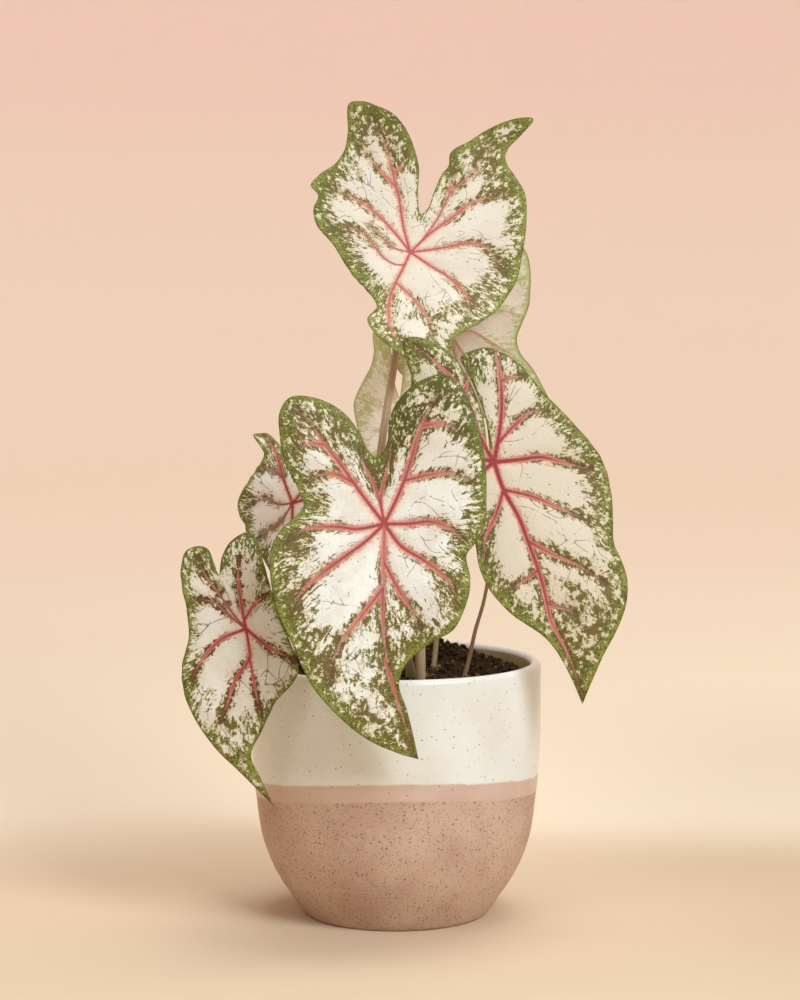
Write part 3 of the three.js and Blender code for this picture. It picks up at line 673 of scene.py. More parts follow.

# %% [markdown]
# ### The right leaf
# A long leaf whose left lobe reaches behind the front leaf. Its sinus is a narrow, winding slit, and
# the slit's large radius keeps the green thin along it. Its cream gets the most painted shade, and its
# veins are the stoutest and the reddest.

# %% Draw the right leaf
LEAVES["right"] = dict(
    junction=(52, -48, 252), azimuth=14, tilt=17, roll=0, crease=0.06, ruffle=(1.5, 5, 0),
    bends=[((-20, 30), 130, 40, -10), ((10, 40), 80, 30, -16), ((-10, 0), 195, 25, -40),
           ((15, -60), -65, 60, -16)],
    sinus=(-2, 6), tip=(42, -130),
    right=[(-2.6, 23), (-5.8, 36), (-10.6, 49), (-13.5, 58), (-4, 62), (4, 62), (12, 58), (19, 53),
           (27, 42), (39, 27), (51, 12), (59, 0), (63, -15), (63, -32), (62, -46), (65, -55), (67, -65),
           (65, -78), (59, -92), (52, -104), (47, -117)],
    left=[(36, -117), (27, -101), (20, -93), (4, -82), (-7, -69), (-12, -56), (-14, -41), (-22, -30),
          (-34, -16), (-40, 1), (-43, 19), (-43, 36), (-42, 48), (-46, 62), (-46, 71), (-39, 73),
          (-29, 70), (-19, 61), (-13.5, 52), (-7.6, 38), (-3.8, 23), (-3, 10)],
    ribs=[[(0, 0), (-7, 15), (-14, 38), (-29, 58), (-39, 68)],
          [(0, 0), (3, 11), (6, 26), (7, 43), (4, 72)], [(0, 0), (14, 1), (26, 2), (37, -1), (52, -5)],
          [(0, 0), (4, -15), (11, -30), (15, -43), (19, -57), (22, -70), (25, -86), (32, -100),
           (38, -114), (42, -126)], [(0, 0), (-12, 4), (-24, 12), (-38, 20)],
          [(0, 0), (-10, -7), (-20, -12), (-31, -12)]],
    twigs=[[(7, 44), (13, 46), (21, 47)], [(2, 9), (12, 19), (23, 27), (33, 27)],
           [(4, -15), (19, -19), (32, -25), (49, -33)], [(15, -43), (28, -51), (42, -58), (56, -68)],
           [(4, -15), (-1, -28), (-8, -41), (-9, -54)], [(19, -59), (10, -65), (3, -68)],
           [(23, -76), (29, -79), (36, -81)], [(-14, 38), (-24, 42), (-36, 42)],
           [(-14, 38), (-11, 44), (-11, 50)]],
    spots=[(-37, 63, 10, 0.5), (-22, 52, 8, 0.4), (-7, 53, 7, 0.7), (-4, 44, 5, 0.45), (21, 52, 5, 0.45),
           (32, 27, 5, 0.5), (38, 19, 5, 0.5), (44, 8, 5, 0.5), (48, -1, 6, 0.5), (52, -12, 6, 0.5),
           (57, -24, 7, 0.5), (59, -38, 7, 0.55), (48, -30, 5, 0.4), (64, -58, 7, 0.6),
           (56, -66, 7, 0.55), (26, -47, 4, 0.45), (35, -53, 5, 0.5), (45, -60, 6, 0.5),
           (35, -68, 6, 0.55), (41, -76, 6, 0.55), (54, -80, 7, 0.6), (47, -88, 8, 0.65),
           (35, -87, 6, 0.6), (38, -97, 7, 0.6), (51, -99, 6, 0.55), (41, -110, 7, 0.6),
           (27, -101, 6, 0.55), (17, -91, 5, 0.5), (8, -83, 6, 0.5), (0, -71, 5, 0.5), (-6, -56, 5, 0.45),
           (21, -60, 4, 0.45), (22, -76, 5, 0.5), (-12, -42, 4, 0.4)],
    slit=(-2, 38, 46), dusk=(-8, 62, 30, 0.6), green=0.92, shade=1.0, light=0.0, sheer=0.0,
    comb=0.75, red=1.0, stout=1.3, glow=0.65, pale=(), thin=(6, 11, 12))

# %% [markdown]
# ### The top leaf
# The highest leaf leans back. Its sinus is wide and open, and one lobe is drawn out to a thin point
# that curls forward. Its veins are slender and pink.

# %% Draw the top leaf
LEAVES["top"] = dict(
    junction=(8, 46, 364), azimuth=6, tilt=28, roll=0, crease=0.05, ruffle=(1.5, 5, 40),
    bends=[((48, 62), 45, 35, 38), ((-38, 66), 130, 45, -18), ((0, 8), 90, 70, 20),
           ((0, -60), -90, 30, -30), ((0, -8), -90, 40, 22)],
    sinus=(7, 24), tip=(3, -81),
    right=[(11, 27), (15, 37), (20, 48), (24, 53), (25, 60), (29, 64), (35, 67), (46, 74), (57, 79),
           (67, 81), (73, 80), (66, 71), (59, 64), (57, 59), (58, 54), (62, 47), (67, 35), (66, 13),
           (63, -3), (59, -19), (52, -31), (43, -45), (31, -56), (21, -63), (17, -72), (11, -79)],
    left=[(-7, -76), (-14, -70), (-23, -60), (-27, -48), (-21, -37), (-25, -28), (-33, -16), (-43, 3),
          (-52, 15), (-54, 25), (-51, 34), (-55, 40), (-50, 47), (-40, 55), (-35, 63), (-33, 73),
          (-32, 90), (-24, 91), (-16, 88), (-8, 84), (-1, 76), (4, 65), (7, 52), (6, 37)],
    ribs=[[(0, 0), (-3, 15), (-5, 34), (-7, 44), (-11, 62), (-13, 69), (-20, 83)],
          [(0, 0), (-8, 12), (-18, 24), (-28, 32), (-36, 36), (-46, 40)],
          [(-3, -8), (-9, -8), (-15, -4), (-20, 3), (-25, 10), (-31, 14), (-44, 12)],
          [(0, 0), (8, 9), (17, 22), (24, 36), (36, 48), (49, 68)],
          [(0, 0), (12, 12), (25, 22), (35, 30), (45, 34), (58, 34)],
          [(0, 0), (16, 2), (27, 4), (39, 4), (46, -2), (52, -14)],
          [(0, 0), (11, -9), (19, -15), (26, -23), (30, -31), (30, -50)],
          [(0, 0), (-5, -11), (-9, -19), (-13, -30), (-15, -44), (-13, -59), (-3, -73)]],
    twigs=[[(-6, 40), (-17, 53), (-26, 64)], [(-9, -20), (-2, -28), (4, -39), (7, -48), (8, -65)],
           [(0, 0), (-8, 2), (-15, 8), (-22, 17)], [(-8, 48), (-2, 54), (-1, 62)],
           [(24, 36), (25, 44), (27, 50)]],
    spots=[(-22, 84, 8, 0.65), (-10, 79, 8, 0.65), (-2, 70, 6, 0.55), (1, 60, 5, 0.45),
           (-30, 70, 7, 0.55), (-45, 44, 7, 0.65), (-36, 48, 6, 0.5), (-28, 45, 4, 0.45),
           (-49, 27, 5, 0.5), (-47, 15, 6, 0.6), (-39, 6, 7, 0.65), (-35, -6, 7, 0.6), (-29, -15, 6, 0.6),
           (-20, -26, 5, 0.5), (28, 55, 5, 0.5), (42, 64, 6, 0.5), (51, 54, 8, 0.75), (58, 45, 8, 0.7),
           (48, 39, 6, 0.5), (64, 24, 6, 0.6), (56, 12, 5, 0.4), (57, -12, 7, 0.6), (50, -7, 6, 0.5),
           (42, -22, 8, 0.55), (33, -35, 8, 0.6), (20, -40, 7, 0.55), (12, -46, 6, 0.5),
           (-19, -53, 6, 0.5), (-9, -67, 8, 0.5), (-3, -45, 5, 0.35)],
    slit=(8, 34, 26), dusk=(-10, 85, 30, 0.3), green=0.86, shade=0.7, light=0.0, sheer=0.0,
    comb=0.35, red=0.5, stout=0.7, glow=0.8, pale=(), thin=(2, 3, 10))

# %% [markdown]
# ### The low left leaf
# A small leaf that hangs over the side of the pot. Its veins have the most teeth beside them.

# %% Draw the low left leaf
LEAVES["low_left"] = dict(
    junction=(-79, -62, 165), azimuth=-16, tilt=12, roll=0, crease=0.1, ruffle=(1.2, 5, 60),
    bends=[((-12, 20), 125, 25, -18), ((4, 25), 80, 25, -18), ((5, -45), -75, 40, -20)],
    sinus=(-17, 28), tip=(19, -93),
    right=[(-17, 38), (-14, 49), (-7, 54), (0, 50), (6, 39), (14, 19), (23, -1), (31, -20), (28, -28),
           (20, -37), (13, -52), (7, -66), (12, -78)],
    left=[(10, -84), (0, -75), (-13, -63), (-26, -46), (-32, -31), (-33, -19), (-31, -7), (-33, 9),
          (-37, 22), (-39, 35), (-37, 43), (-32, 45), (-26, 43), (-21, 35)],
    ribs=[[(0, 0), (-8, 8), (-17, 19), (-25, 28), (-31, 38)], [(0, 0), (-9, 6), (-18, 13), (-29, 15)],
          [(0, 0), (-13, -6), (-21, -15), (-25, -22), (-27, -29)], [(0, 0), (-3, 11), (-6, 25), (-7, 38)],
          [(0, 0), (10, -7), (17, -11), (28, -15)],
          [(0, 0), (2, -8), (3, -15), (-4, -27), (-7, -38), (-11, -51)]],
    twigs=[[(-1, 5), (4, 13), (11, 19)], [(3, -15), (6, -26), (9, -37), (12, -45)]],
    spots=[(-31, 36, 8, 0.5), (-5, 46, 8, 0.5), (13, -78, 9, 0.6), (-32, 12, 4, 0.45), (-32, -4, 4, 0.45),
           (-31, -24, 4, 0.4), (-24, -44, 5, 0.45), (-13, -58, 6, 0.5), (-2, -66, 6, 0.5),
           (6, -58, 5, 0.45), (10, -66, 5, 0.5), (-14, 36, 5, 0.45), (8, 30, 5, 0.4), (12, 21, 4, 0.4),
           (-9, -42, 4, 0.4), (-3, -52, 5, 0.5), (4, -48, 5, 0.45), (-17, -36, 5, 0.4)],
    slit=(-17, 28, 4), dusk=(-14, 44, 24, 0.8), green=0.3, shade=0.35, light=0.0, sheer=0.0,
    comb=1.0, red=0.9, stout=0.75, glow=0.5, pale=(), thin=(0, 1))

# %% [markdown]
# ### The left leaf
# Half of this small leaf lies behind the front one. Its cream is lightened with painted light, and a
# little light comes through its blade.

# %% Draw the left leaf
LEAVES["left"] = dict(
    junction=(-56, -22, 228), azimuth=-30, tilt=16, roll=0, crease=0.08, ruffle=(1.2, 5, 20),
    bends=[((-14, 20), 125, 25, -30), ((10, 10), 60, 25, -10), ((0, -30), -90, 40, -14)],
    sinus=(0, 12), tip=(11, -64),
    right=[(4, 15), (7, 23), (12, 30), (20, 30), (27, 22), (32, 8), (32, -5), (30, -22), (26, -38),
           (18, -52)],
    left=[(4, -55), (-3, -44), (-14, -30), (-25, -19), (-27, -14), (-32, -8), (-34, -2), (-31, 7),
          (-25, 19), (-23, 26), (-37, 40), (-29, 41), (-18, 35), (-10, 28), (-5, 20)],
    ribs=[[(0, 0), (-5, 8), (-9, 15), (-14, 25), (-22, 34), (-31, 40)],
          [(0, 0), (-9, -1), (-17, 2), (-26, -2)], [(0, 0), (-6, -11), (-13, -16), (-19, -22)],
          [(0, 0), (7, 9), (14, 20), (18, 27)], [(0, 0), (10, 3), (20, 5), (29, 3)],
          [(0, 0), (2, -12), (5, -30), (8, -46), (11, -60)]],
    twigs=[[(2, -12), (12, -17), (26, -20)], [(4, -26), (13, -33), (21, -40)],
           [(4, -28), (-1, -35), (-5, -42)], [(-7, 12), (-12, 16), (-17, 18), (-23, 18)]],
    spots=[(-24, 22, 5, 0.6), (-31, 4, 5, 0.5), (-28, -10, 5, 0.4), (-14, -28, 5, 0.4), (14, -50, 8, 0.5),
           (24, 18, 6, 0.4)],
    slit=(0, 12, 10), dusk=(-30, 6, 20, 0.2), green=0.15, shade=0.0, light=0.9, sheer=0.2,
    comb=0.7, red=0.85, stout=0.7, glow=0.6, pale=(), thin=(1, 2, 9))

# %% [markdown]
# ### The back right leaf
# This leaf is rolled onto its side and faces backwards, so from the front its milky underside
# shows beside the top leaf, darkened with painted shade.

# %% Draw the back right leaf
LEAVES["back_right"] = dict(
    junction=(32, 75, 317), azimuth=172, tilt=8, roll=-58, crease=0.07, ruffle=(1.2, 5, 20),
    bends=[((7, 0), 3, 25, 34), ((-13, -21), 208, 40, 14)],
    sinus=(-1, 8), tip=(1, -66),
    right=[(7, 16), (18, 24), (30, 25), (42, 17), (49, 2), (50, -16), (44, -32), (33, -46), (20, -56),
           (9, -62)],
    left=[(-8, -50), (-12, -39), (-18, -33), (-27, -31), (-38, -29), (-46, -25), (-56, -19), (-63, -12),
          (-66, -2), (-64, 10), (-56, 24), (-44, 32), (-30, 31), (-15, 24), (-6, 16)],
    ribs=[[(0, 0), (-14, 7), (-30, 14), (-46, 20), (-54, 19)], [(0, 0), (-16, -3), (-34, -4), (-54, -4)],
          [(0, 0), (-15, -4), (-22, -9), (-27, -14), (-31, -27)], [(0, 0), (12, 9), (24, 16), (34, 18)],
          [(0, 0), (14, 0), (28, -2), (44, -6)], [(0, 0), (-8, -8), (-9, -21), (-9, -33), (-8, -45)],
          [(0, 0), (6, -14), (8, -32), (6, -48), (2, -62)]],
    twigs=[[(6, -14), (20, -22), (36, -28)], [(8, -32), (18, -40), (27, -47)],
           [(-34, -4), (-44, -11), (-50, -18)], [(28, -2), (36, -12), (42, -18)]],
    spots=[(-58, 12, 8, 0.4), (40, -26, 9, 0.45), (4, -54, 8, 0.5), (38, 12, 8, 0.4)],
    slit=(-1, 8, 8), dusk=(0, 0, 1, 0), green=0.25, shade=0.8, light=0.0, sheer=0.0,
    comb=0.2, red=0.5, stout=0.8, glow=0.8, pale=(), thin=())

# %% [markdown]
# ### The back left leaf
# The last leaf hangs behind the stalks and faces backwards too. It lets the most light through, and
# its cream is lightened with painted light.

# %% Draw the back left leaf
LEAVES["back_left"] = dict(
    junction=(3, 54, 265), azimuth=190, tilt=-4, roll=0, crease=0.07, ruffle=(1.2, 5, 50),
    bends=[((0, 20), 90, 40, 12), ((0, -40), -90, 40, -14)],
    sinus=(1, 17), tip=(1, -64),
    right=[(4, 28), (5, 43), (7, 55), (11, 59), (15, 54), (15, 43), (17, 35), (23, 24), (27, 14), (26, 4),
           (24, -4), (20, -17), (15, -33), (8, -48)],
    left=[(-9, -47), (-18, -29), (-24, -11), (-27, 7), (-28, 22), (-25, 38), (-20, 50), (-14, 57),
          (-8, 58), (-4, 53), (-2, 43), (-1, 28)],
    ribs=[[(0, 0), (3, 15), (7, 31), (10, 50)], [(0, 0), (7, 9), (13, 13), (21, 17)],
          [(0, 0), (8, -2), (16, 0), (22, 4)], [(0, 0), (8, -13), (15, -18)],
          [(0, 0), (-5, 15), (-12, 34), (-14, 50)], [(0, 0), (-10, 5), (-18, 10), (-25, 14)],
          [(0, 0), (-8, -8), (-15, -12), (-21, -13)], [(0, 0), (0, -18), (1, -38), (1, -58)]],
    twigs=[[(0, -18), (6, -26), (12, -32)], [(0, -22), (-6, -29), (-12, -34)]],
    spots=[(21, 10, 5, 0.5), (17, -22, 6, 0.45), (-22, 30, 6, 0.4), (0, -52, 8, 0.45), (10, 52, 6, 0.4)],
    slit=(1, 17, 6), dusk=(0, 0, 1, 0), green=0.2, shade=0.0, light=0.9, sheer=0.6,
    comb=0.1, red=0.3, stout=0.75, glow=0.6, pale=(), thin=())

# %% Count what was drawn
for name, leaf in LEAVES.items():
    print(f"{name}: {len(leaf['ribs'])} ribs, {len(leaf['twigs'])} twigs, {len(leaf['spots'])} spots")

# %% [markdown]
# ## From flat to curled
# A point of the flat leaf gets a lift out of the plane from the crease along the midrib and from the
# ruffled edge. Then each bend rolls what lies beyond its line over a wide, soft fold. A lift that is
# added before the bends always ends up square to the blade, so veins, puckers and the blade's thickness
# are just lifts too. Curling a flat mesh with modifiers would need an empty for each of the bends.

# %% Curl a flat leaf
CREASE_SOFTNESS = 10
RUFFLE_REACH = 60         # how far from the junction a ruffle has its full height


def bent(flat, lift, at, toward, over, by):
    """Flat places and lifts after one bend, whose line lies at a place, square to its direction."""
    forward = np.array([math.cos(math.radians(toward)), math.sin(math.radians(toward))])
    sideways = np.array([-forward[1], forward[0]])
    away = flat - at
    along, across = away @ forward, away @ sideways
    per_mm = math.radians(by) / over
    turn = per_mm * along.clip(0, over)
    beyond = (along - over).clip(0)
    reach = np.sin(turn) / per_mm + beyond * np.cos(turn) - lift * np.sin(turn)
    raised = (1 - np.cos(turn)) / per_mm + beyond * np.sin(turn) + lift * np.cos(turn)
    moved = along > 0
    reach, raised = np.where(moved, reach, along), np.where(moved, raised, lift)
    return np.asarray(at) + reach[:, None] * forward + across[:, None] * sideways, raised


def curled(leaf, flat, lift):
    """Points in space for flat places, each raised off the blade by its own lift."""
    tip_u, tip_v = leaf["tip"]
    height, count, turn = leaf["ruffle"]
    from_midrib = (flat[:, 0] * tip_v - flat[:, 1] * tip_u) / math.hypot(tip_u, tip_v)
    crease = leaf["crease"] * (np.hypot(from_midrib, CREASE_SOFTNESS) - CREASE_SOFTNESS)
    wave = np.sin(count * np.arctan2(flat[:, 1], flat[:, 0]) + math.radians(turn))
    ruffle = height * (np.hypot(flat[:, 0], flat[:, 1]) / RUFFLE_REACH) ** 2 * wave
    lift = lift + crease + ruffle
    for bend in leaf["bends"]:
        flat, lift = bent(flat, lift, *bend)
    azimuth, tilt, roll = (math.radians(leaf[name]) for name in ("azimuth", "tilt", "roll"))
    facing = (math.sin(azimuth) * math.cos(tilt), -math.cos(azimuth) * math.cos(tilt), math.sin(tilt))
    upper = np.array(facing)
    level = np.array([math.cos(azimuth), math.sin(azimuth), 0])
    uphill = np.cross(upper, level)
    across = level * math.cos(roll) + uphill * math.sin(roll)
    toward_sinus = uphill * math.cos(roll) - level * math.sin(roll)
    return leaf["junction"] + flat[:, :1] * across + flat[:, 1:] * toward_sinus + lift[:, None] * upper


# %% [markdown]
# ## The finest veins
# Between the ribs and twigs run veins as fine as hairs. Nobody could place them all by hand, so they are
# grown: each starts on a thicker vein, leaves it at a steep angle, bends back towards its direction, and
# stops where it meets another vein or the edge. A second crop then forks from the first.

# %% Grow the threads
THREAD_STEP = 1.2
THREAD_LONGEST = 30       # steps
THREAD_SHORTEST = 5
THREAD_ROOM = 1.3         # how close to a thicker vein a thread may end
THREAD_START = 3          # so many of its points may lie nearer, beside the vein that it leaves
THREAD_SHARE = 0.5        # how many of the possible ones grow
THREAD_SWAY = 0.17        # how unsteadily a thread keeps its direction, in radians a step
THREAD_BEND = 0.06        # how fast it may turn back, in radians a step
FIRST_CROP = (13, (42, 72))   # how far apart threads start, and their angles off the thicker vein
SECOND_CROP = (12, (30, 60))


def inside_outline(points, outline):
    """True for the points that a ray to the right leaves through the outline an odd number of times."""
    u, v = points[:, 0], points[:, 1]
    odd = np.zeros(len(points), dtype=bool)
    for (u0, v0), (u1, v1) in zip(outline, np.roll(outline, -1, axis=0)):
        if v0 == v1:
            continue
        crosses = (v0 > v) != (v1 > v)
        odd ^= crosses & (u < u0 + (v - v0) / (v1 - v0) * (u1 - u0))
    return odd


def threads_from(lines, blocked, outline, crop, chance):
    """Threads that start on both sides of some lines and stop where something blocks them."""
    spacing, angles = crop
    threads = []
    for line in lines:
        stops = even_steps(line, spacing)
        slopes = np.gradient(stops, axis=0)
        for place, slope in zip(stops[1:], slopes[1:]):
            for side in (1, -1):
                heading = math.atan2(slope[1], slope[0]) + side * math.radians(chance.uniform(*angles))
                bend = -side * chance.uniform(0.0, THREAD_BEND)
                path = [place]
                for _ in range(THREAD_LONGEST):
                    heading += bend + chance.gauss(0, THREAD_SWAY)
                    step = THREAD_STEP * np.array([math.cos(heading), math.sin(heading)])
                    path.append(path[-1] + step)
                path = np.array(path)
                away = np.linalg.norm(path[:, None] - blocked, axis=2).min(axis=1)
                good = inside_outline(path, outline)
                good[THREAD_START:] &= away[THREAD_START:] > THREAD_ROOM
                length = len(path) if good.all() else int(good.argmin())
                if length > THREAD_SHORTEST and chance.random() < THREAD_SHARE:
                    threads.append(path[:length])
    return threads


def grow_threads(veins, outline, chance):
    """Both crops of threads. The second forks from the first and stops where it meets a thread."""
    blocked = np.vstack(veins)
    first = threads_from(veins, blocked, outline, FIRST_CROP, chance)
    second = threads_from(first, np.vstack([blocked, *first]), outline, SECOND_CROP, chance)
    return first + second


# %% [markdown]
# ## A fine net for each blade
# The blade's surface is a net of triangles that knows where the veins are. The outline and every vein go
# in as lines that the triangles may not cross, rows of points run down both sides of each thick vein, and
# a loose honeycomb of points fills the rest. A plain grid would cut across the veins and make them look
# torn.

# %% Keep points apart
NET_STEP = 1.05
NET_SWAY = 0.18           # how far a point of the honeycomb may stray from its place
OUTLINE_STEP = 0.8
VEIN_STEP = 1.0
SIDE_ROWS = (0.55, 1.15)  # how far beside a vein the two rows of points run
CLEAR = 0.5               # points closer than this become one
NET_TOLERANCE = 1e-5
ONLY_INSIDE = 1           # asks for the triangles inside the outline and no others


class Crowd:
    """Points sorted into square cells, so that close neighbours are found fast."""

    def __init__(self):
        self.points = []
        self.cells = {}

    def cell(self, point):
        return int(point[0] // CLEAR), int(point[1] // CLEAR)

    def neighbour(self, point):
        column, row = self.cell(point)
        for i in (column - 1, column, column + 1):
            for j in (row - 1, row, row + 1):
                for number in self.cells.get((i, j), ()):
                    if math.dist(point, self.points[number]) < CLEAR:
                        return number
        return None

    def add(self, point):
        self.cells.setdefault(self.cell(point), []).append(len(self.points))
        self.points.append(tuple(point))
        return len(self.points) - 1

    def join(self, point):
        """The number of a point that is close already, or else of this one, newly added."""
        number = self.neighbour(point)
        return self.add(point) if number is None else number


# %% Lay the net
def leaf_net(leaf, chance):
    """Outline, veins and threads as lines, and the flat points and triangles of the net."""
    edge = [leaf["tip"], *leaf["left"], leaf["sinus"], *leaf["right"], leaf["tip"]]
    outline = smooth_line(edge, OUTLINE_STEP)[:-1]
    veins = [smooth_line(line, VEIN_STEP) for line in leaf["ribs"] + leaf["twigs"]]
    threads = grow_threads(veins, outline, chance)

    crowd = Crowd()
    for point in outline:
        crowd.add(point)
    links = []
    for line in veins + threads:
        before = None
        for point, is_inside in zip(line, inside_outline(line, outline)):
            number = crowd.join(point) if is_inside else 0
            here = number if number >= len(outline) else None
            if here is not None and before is not None and here != before:
                links.append((before, here))
            before = here

    loose = []
    for row in SIDE_ROWS:
        for line in veins:
            slope = np.gradient(line, axis=0)
            square = np.stack([-slope[:, 1], slope[:, 0]], axis=1)
            square /= np.linalg.norm(slope, axis=1)[:, None]
            loose += [line + row * square, line - row * square]
    low, high = outline.min(axis=0), outline.max(axis=0)
    row_step = NET_STEP * math.sqrt(3) / 2
    for j in range(int((high[1] - low[1]) / row_step) + 1):
        for i in range(int((high[0] - low[0]) / NET_STEP) + 1):
            sway = (chance.uniform(-NET_SWAY, NET_SWAY), chance.uniform(-NET_SWAY, NET_SWAY))
            column = i + 0.5 * (j % 2)
            loose.append([(low[0] + column * NET_STEP + sway[0], low[1] + j * row_step + sway[1])])
    loose = np.vstack(loose)
    for point in loose[inside_outline(loose, outline)]:
        crowd.join(point)
    flat = [Vector(point) for point in crowd.points]
    loop = list(range(len(outline)))
    found = geometry.delaunay_2d_cdt(flat, links, [loop], ONLY_INSIDE, NET_TOLERANCE)
    points = np.array([tuple(point) for point in found[0]])
    return outline, veins, threads, points, [tuple(face) for face in found[2]]


# %% [markdown]
# ## What each point of a leaf knows
# The colours of a caladium follow its veins and its edge, so each point keeps a few distances: to the
# edge, to the side of the nearest vein, how far out along that vein it is, and how much green gathers
# there. The material then only has to turn distances into colours, with noise to fray the borders. That
# keeps the pattern sharp at any size, and no picture has to be painted.

# %% Measure the veins
RIB_HALF_WIDTH = (0.85, 0.3)      # where a rib starts and where it ends
TWIG_HALF_WIDTH = (0.55, 0.15)
THIN_GLOW = 0.45
PALE_DEPTH = 0.25         # how deep the red of a pale vein is, against 1 for the others
MEASURE_STEP = 2.2
LONG_RIB = 90             # a twig starts as far out as it would on a rib this long, but at most halfway
VEIN_APART = 100          # added from vein to vein, so that each gets its own part of the noise


def vein_facts(flat, leaf, veins):
    """For each point six numbers of its nearest vein: how far the vein's side is, how far out along the
    vein the point lies (0 to 1), the run in mm, the vein's half width, its depth of red and its glow."""
    facts = np.zeros((6, len(flat)))
    facts[0] = 1e9
    for number, line in enumerate(veins):
        is_rib = number < len(leaf["ribs"])
        thin = number in leaf["thin"]
        wide, narrow = RIB_HALF_WIDTH if is_rib and not thin else TWIG_HALF_WIDTH
        wide, narrow = wide * leaf["stout"], narrow * leaf["stout"]
        origin = 0.0 if is_rib else min(np.hypot(*line[0]) / LONG_RIB, 0.5)
        line = even_steps(line, MEASURE_STEP)
        which, away, share = nearest(flat, line[:-1], line[1:])
        length = (which + share) / (len(line) - 1)
        half = wide + (narrow - wide) * length
        out = origin + (1 - origin) * length
        run = VEIN_APART * number + MEASURE_STEP * (which + share)
        depth = np.full(len(flat), PALE_DEPTH if number in leaf["pale"] else 1.0)
        glow = np.full(len(flat), leaf["glow"] * (THIN_GLOW if thin else 1))
        found = np.array([away - half, out, run, half, depth, glow])
        closer = found[0] < facts[0]
        facts[:, closer] = found[:, closer]
    return facts


def thread_facts(flat, threads):
    """How far each point is from the nearest thread, rounded so that on a thread it is 0 in every run."""
    lines = [even_steps(line, MEASURE_STEP) for line in threads]
    starts = np.vstack([line[:-1] for line in lines])
    ends = np.vstack([line[1:] for line in lines])
    return nearest(flat, starts, ends)[1].round(6)


# %% Gather the green
# The first number of each pair holds for a leaf with no green. A fully green leaf has the second on top.
BAND = (1.2, 1.3)         # width of the solid band
ZONE_DEPTH = (5, 5)
ZONE_GREEN = (0.24, 0.22)
FRINGE_GREEN = (0.24, 0.12)
FRINGE_WIDTH = 2.6
SWAY_SIZE = 15            # over how many millimetres the edge's band grows wide and narrow
SPOT_WEIGHT = 0.9


def round_spot(flat, u, v, size, strength):
    """A soft round spot: its strength in the middle, a third of it at its radius."""
    return strength * np.exp(-((flat[:, 0] - u) ** 2 + (flat[:, 1] - v) ** 2) / size ** 2)


def green_facts(flat, leaf, margin, rib, reach):
    """How much green gathers: 1 is solid, 0.5 about half, 0 only a flake here and there. It comes from a
    solid band along the edge, a looser zone inside that, a fringe beside the outer veins, and spots."""
    band, depth, zone, fringe = (
        least + more * leaf["green"] for least, more in (BAND, ZONE_DEPTH, ZONE_GREEN, FRINGE_GREEN))
    sway = np.array([noise.noise(Vector((u, v, 0)) / SWAY_SIZE) for u, v in flat])
    slit_u, slit_v, slit_size = leaf["slit"]
    from_slit = np.hypot(flat[:, 0] - slit_u, flat[:, 1] - slit_v) / slit_size
    wide = from_slit.clip(0.3, 1) ** 1.5
    band = band * (1 + 0.7 * sway) * wide
    solid = 1.15 - 0.8 * ((margin - 0.5 * band) / band).clip(0)
    depth = depth * (1 + 0.5 * sway) * wide
    zone = zone * np.exp(-(margin / depth) ** 2)
    outer = ((reach - 0.15) / 0.4).clip(0, 1)
    fringe = fringe * outer * np.exp(-((rib - 1.0) / FRINGE_WIDTH) ** 2)
    spots = np.max([round_spot(flat, *spot) for spot in leaf["spots"]], axis=0)
    return np.maximum(solid.clip(0), zone + fringe + SPOT_WEIGHT * spots).clip(0, 1.2)


# %% [markdown]
# ## Leaf finishes
# Seen close, the upper side is cream between the veins. Green fills a band along the edge and frays
# inwards in flakes, with cream dots left in it. The ribs are raspberry red at the junction and fade
# outwards, with feathered borders and a pink glow. Fine dark cracks, the smallest veins, run through the
# cream. The underside shows the same pattern, milky and soft, because the colour lies in the upper layer
# of the leaf.

# %% Mix the leaf colours
CREAM = colour(231, 234, 227)
CREAM_MOTTLE_AND_SHADE = colour(208, 200, 181)
CREAM_PAINTED_LIGHT = colour(250, 252, 250)
LEMON = colour(224, 220, 178)
PALE_GREEN = colour(212, 206, 156)
BLUSH_AND_GROOVE_SHADE = colour(224, 190, 170)
OLIVE = colour(120, 124, 54)
LIGHT_OLIVE = colour(142, 148, 70)
DARK_OLIVE = colour(78, 76, 32)
BRONZE = colour(110, 90, 52)
COMB = colour(92, 70, 42)
RASPBERRY = colour(158, 64, 66)
FADED_RED = colour(166, 90, 80)
DEEP_RED = colour(128, 46, 48)
BROWN_VEIN = colour(132, 88, 66)
ROSE = colour(206, 132, 120)
PALE_RIB = colour(196, 112, 104)
THREAD = colour(96, 78, 46)
MILK_GREEN = colour(190, 196, 138)
MILK = colour(247, 242, 226)
MILK_PAINTED_SHADE = colour(226, 210, 192)
UNDER_ROSE = colour(214, 150, 134)
print("leaf colours are mixed: cream", [round(part, 2) for part in CREAM[:3]])

# %% [markdown]
# ### Flakes of green
# The green tissue breaks up inwards into ragged flakes that point at the junction, and thin strands curl
# between them. One noise would give round blots. So several are added, half of them in a space that is
# drawn out along the rays of the leaf, and what comes out is green above a level. Where more green
# gathers, more of it lies above.

# %% Scatter the green
GREEN_FROM = 0.47         # where flakes and gathered green add up to this, the leaf is green
FLAKE_MIDDLE = 3.47       # the middle value of all the noise that flakes are made of


def winding(finish, vector, scale):
    """How far a warped cloud is from its middle value, which is 0 along winding lines."""
    cloud = finish.cloud(vector, scale, 2, 0.5, 1.6)
    return finish.calc("ABSOLUTE", finish.calc("SUBTRACT", cloud, 0.5))


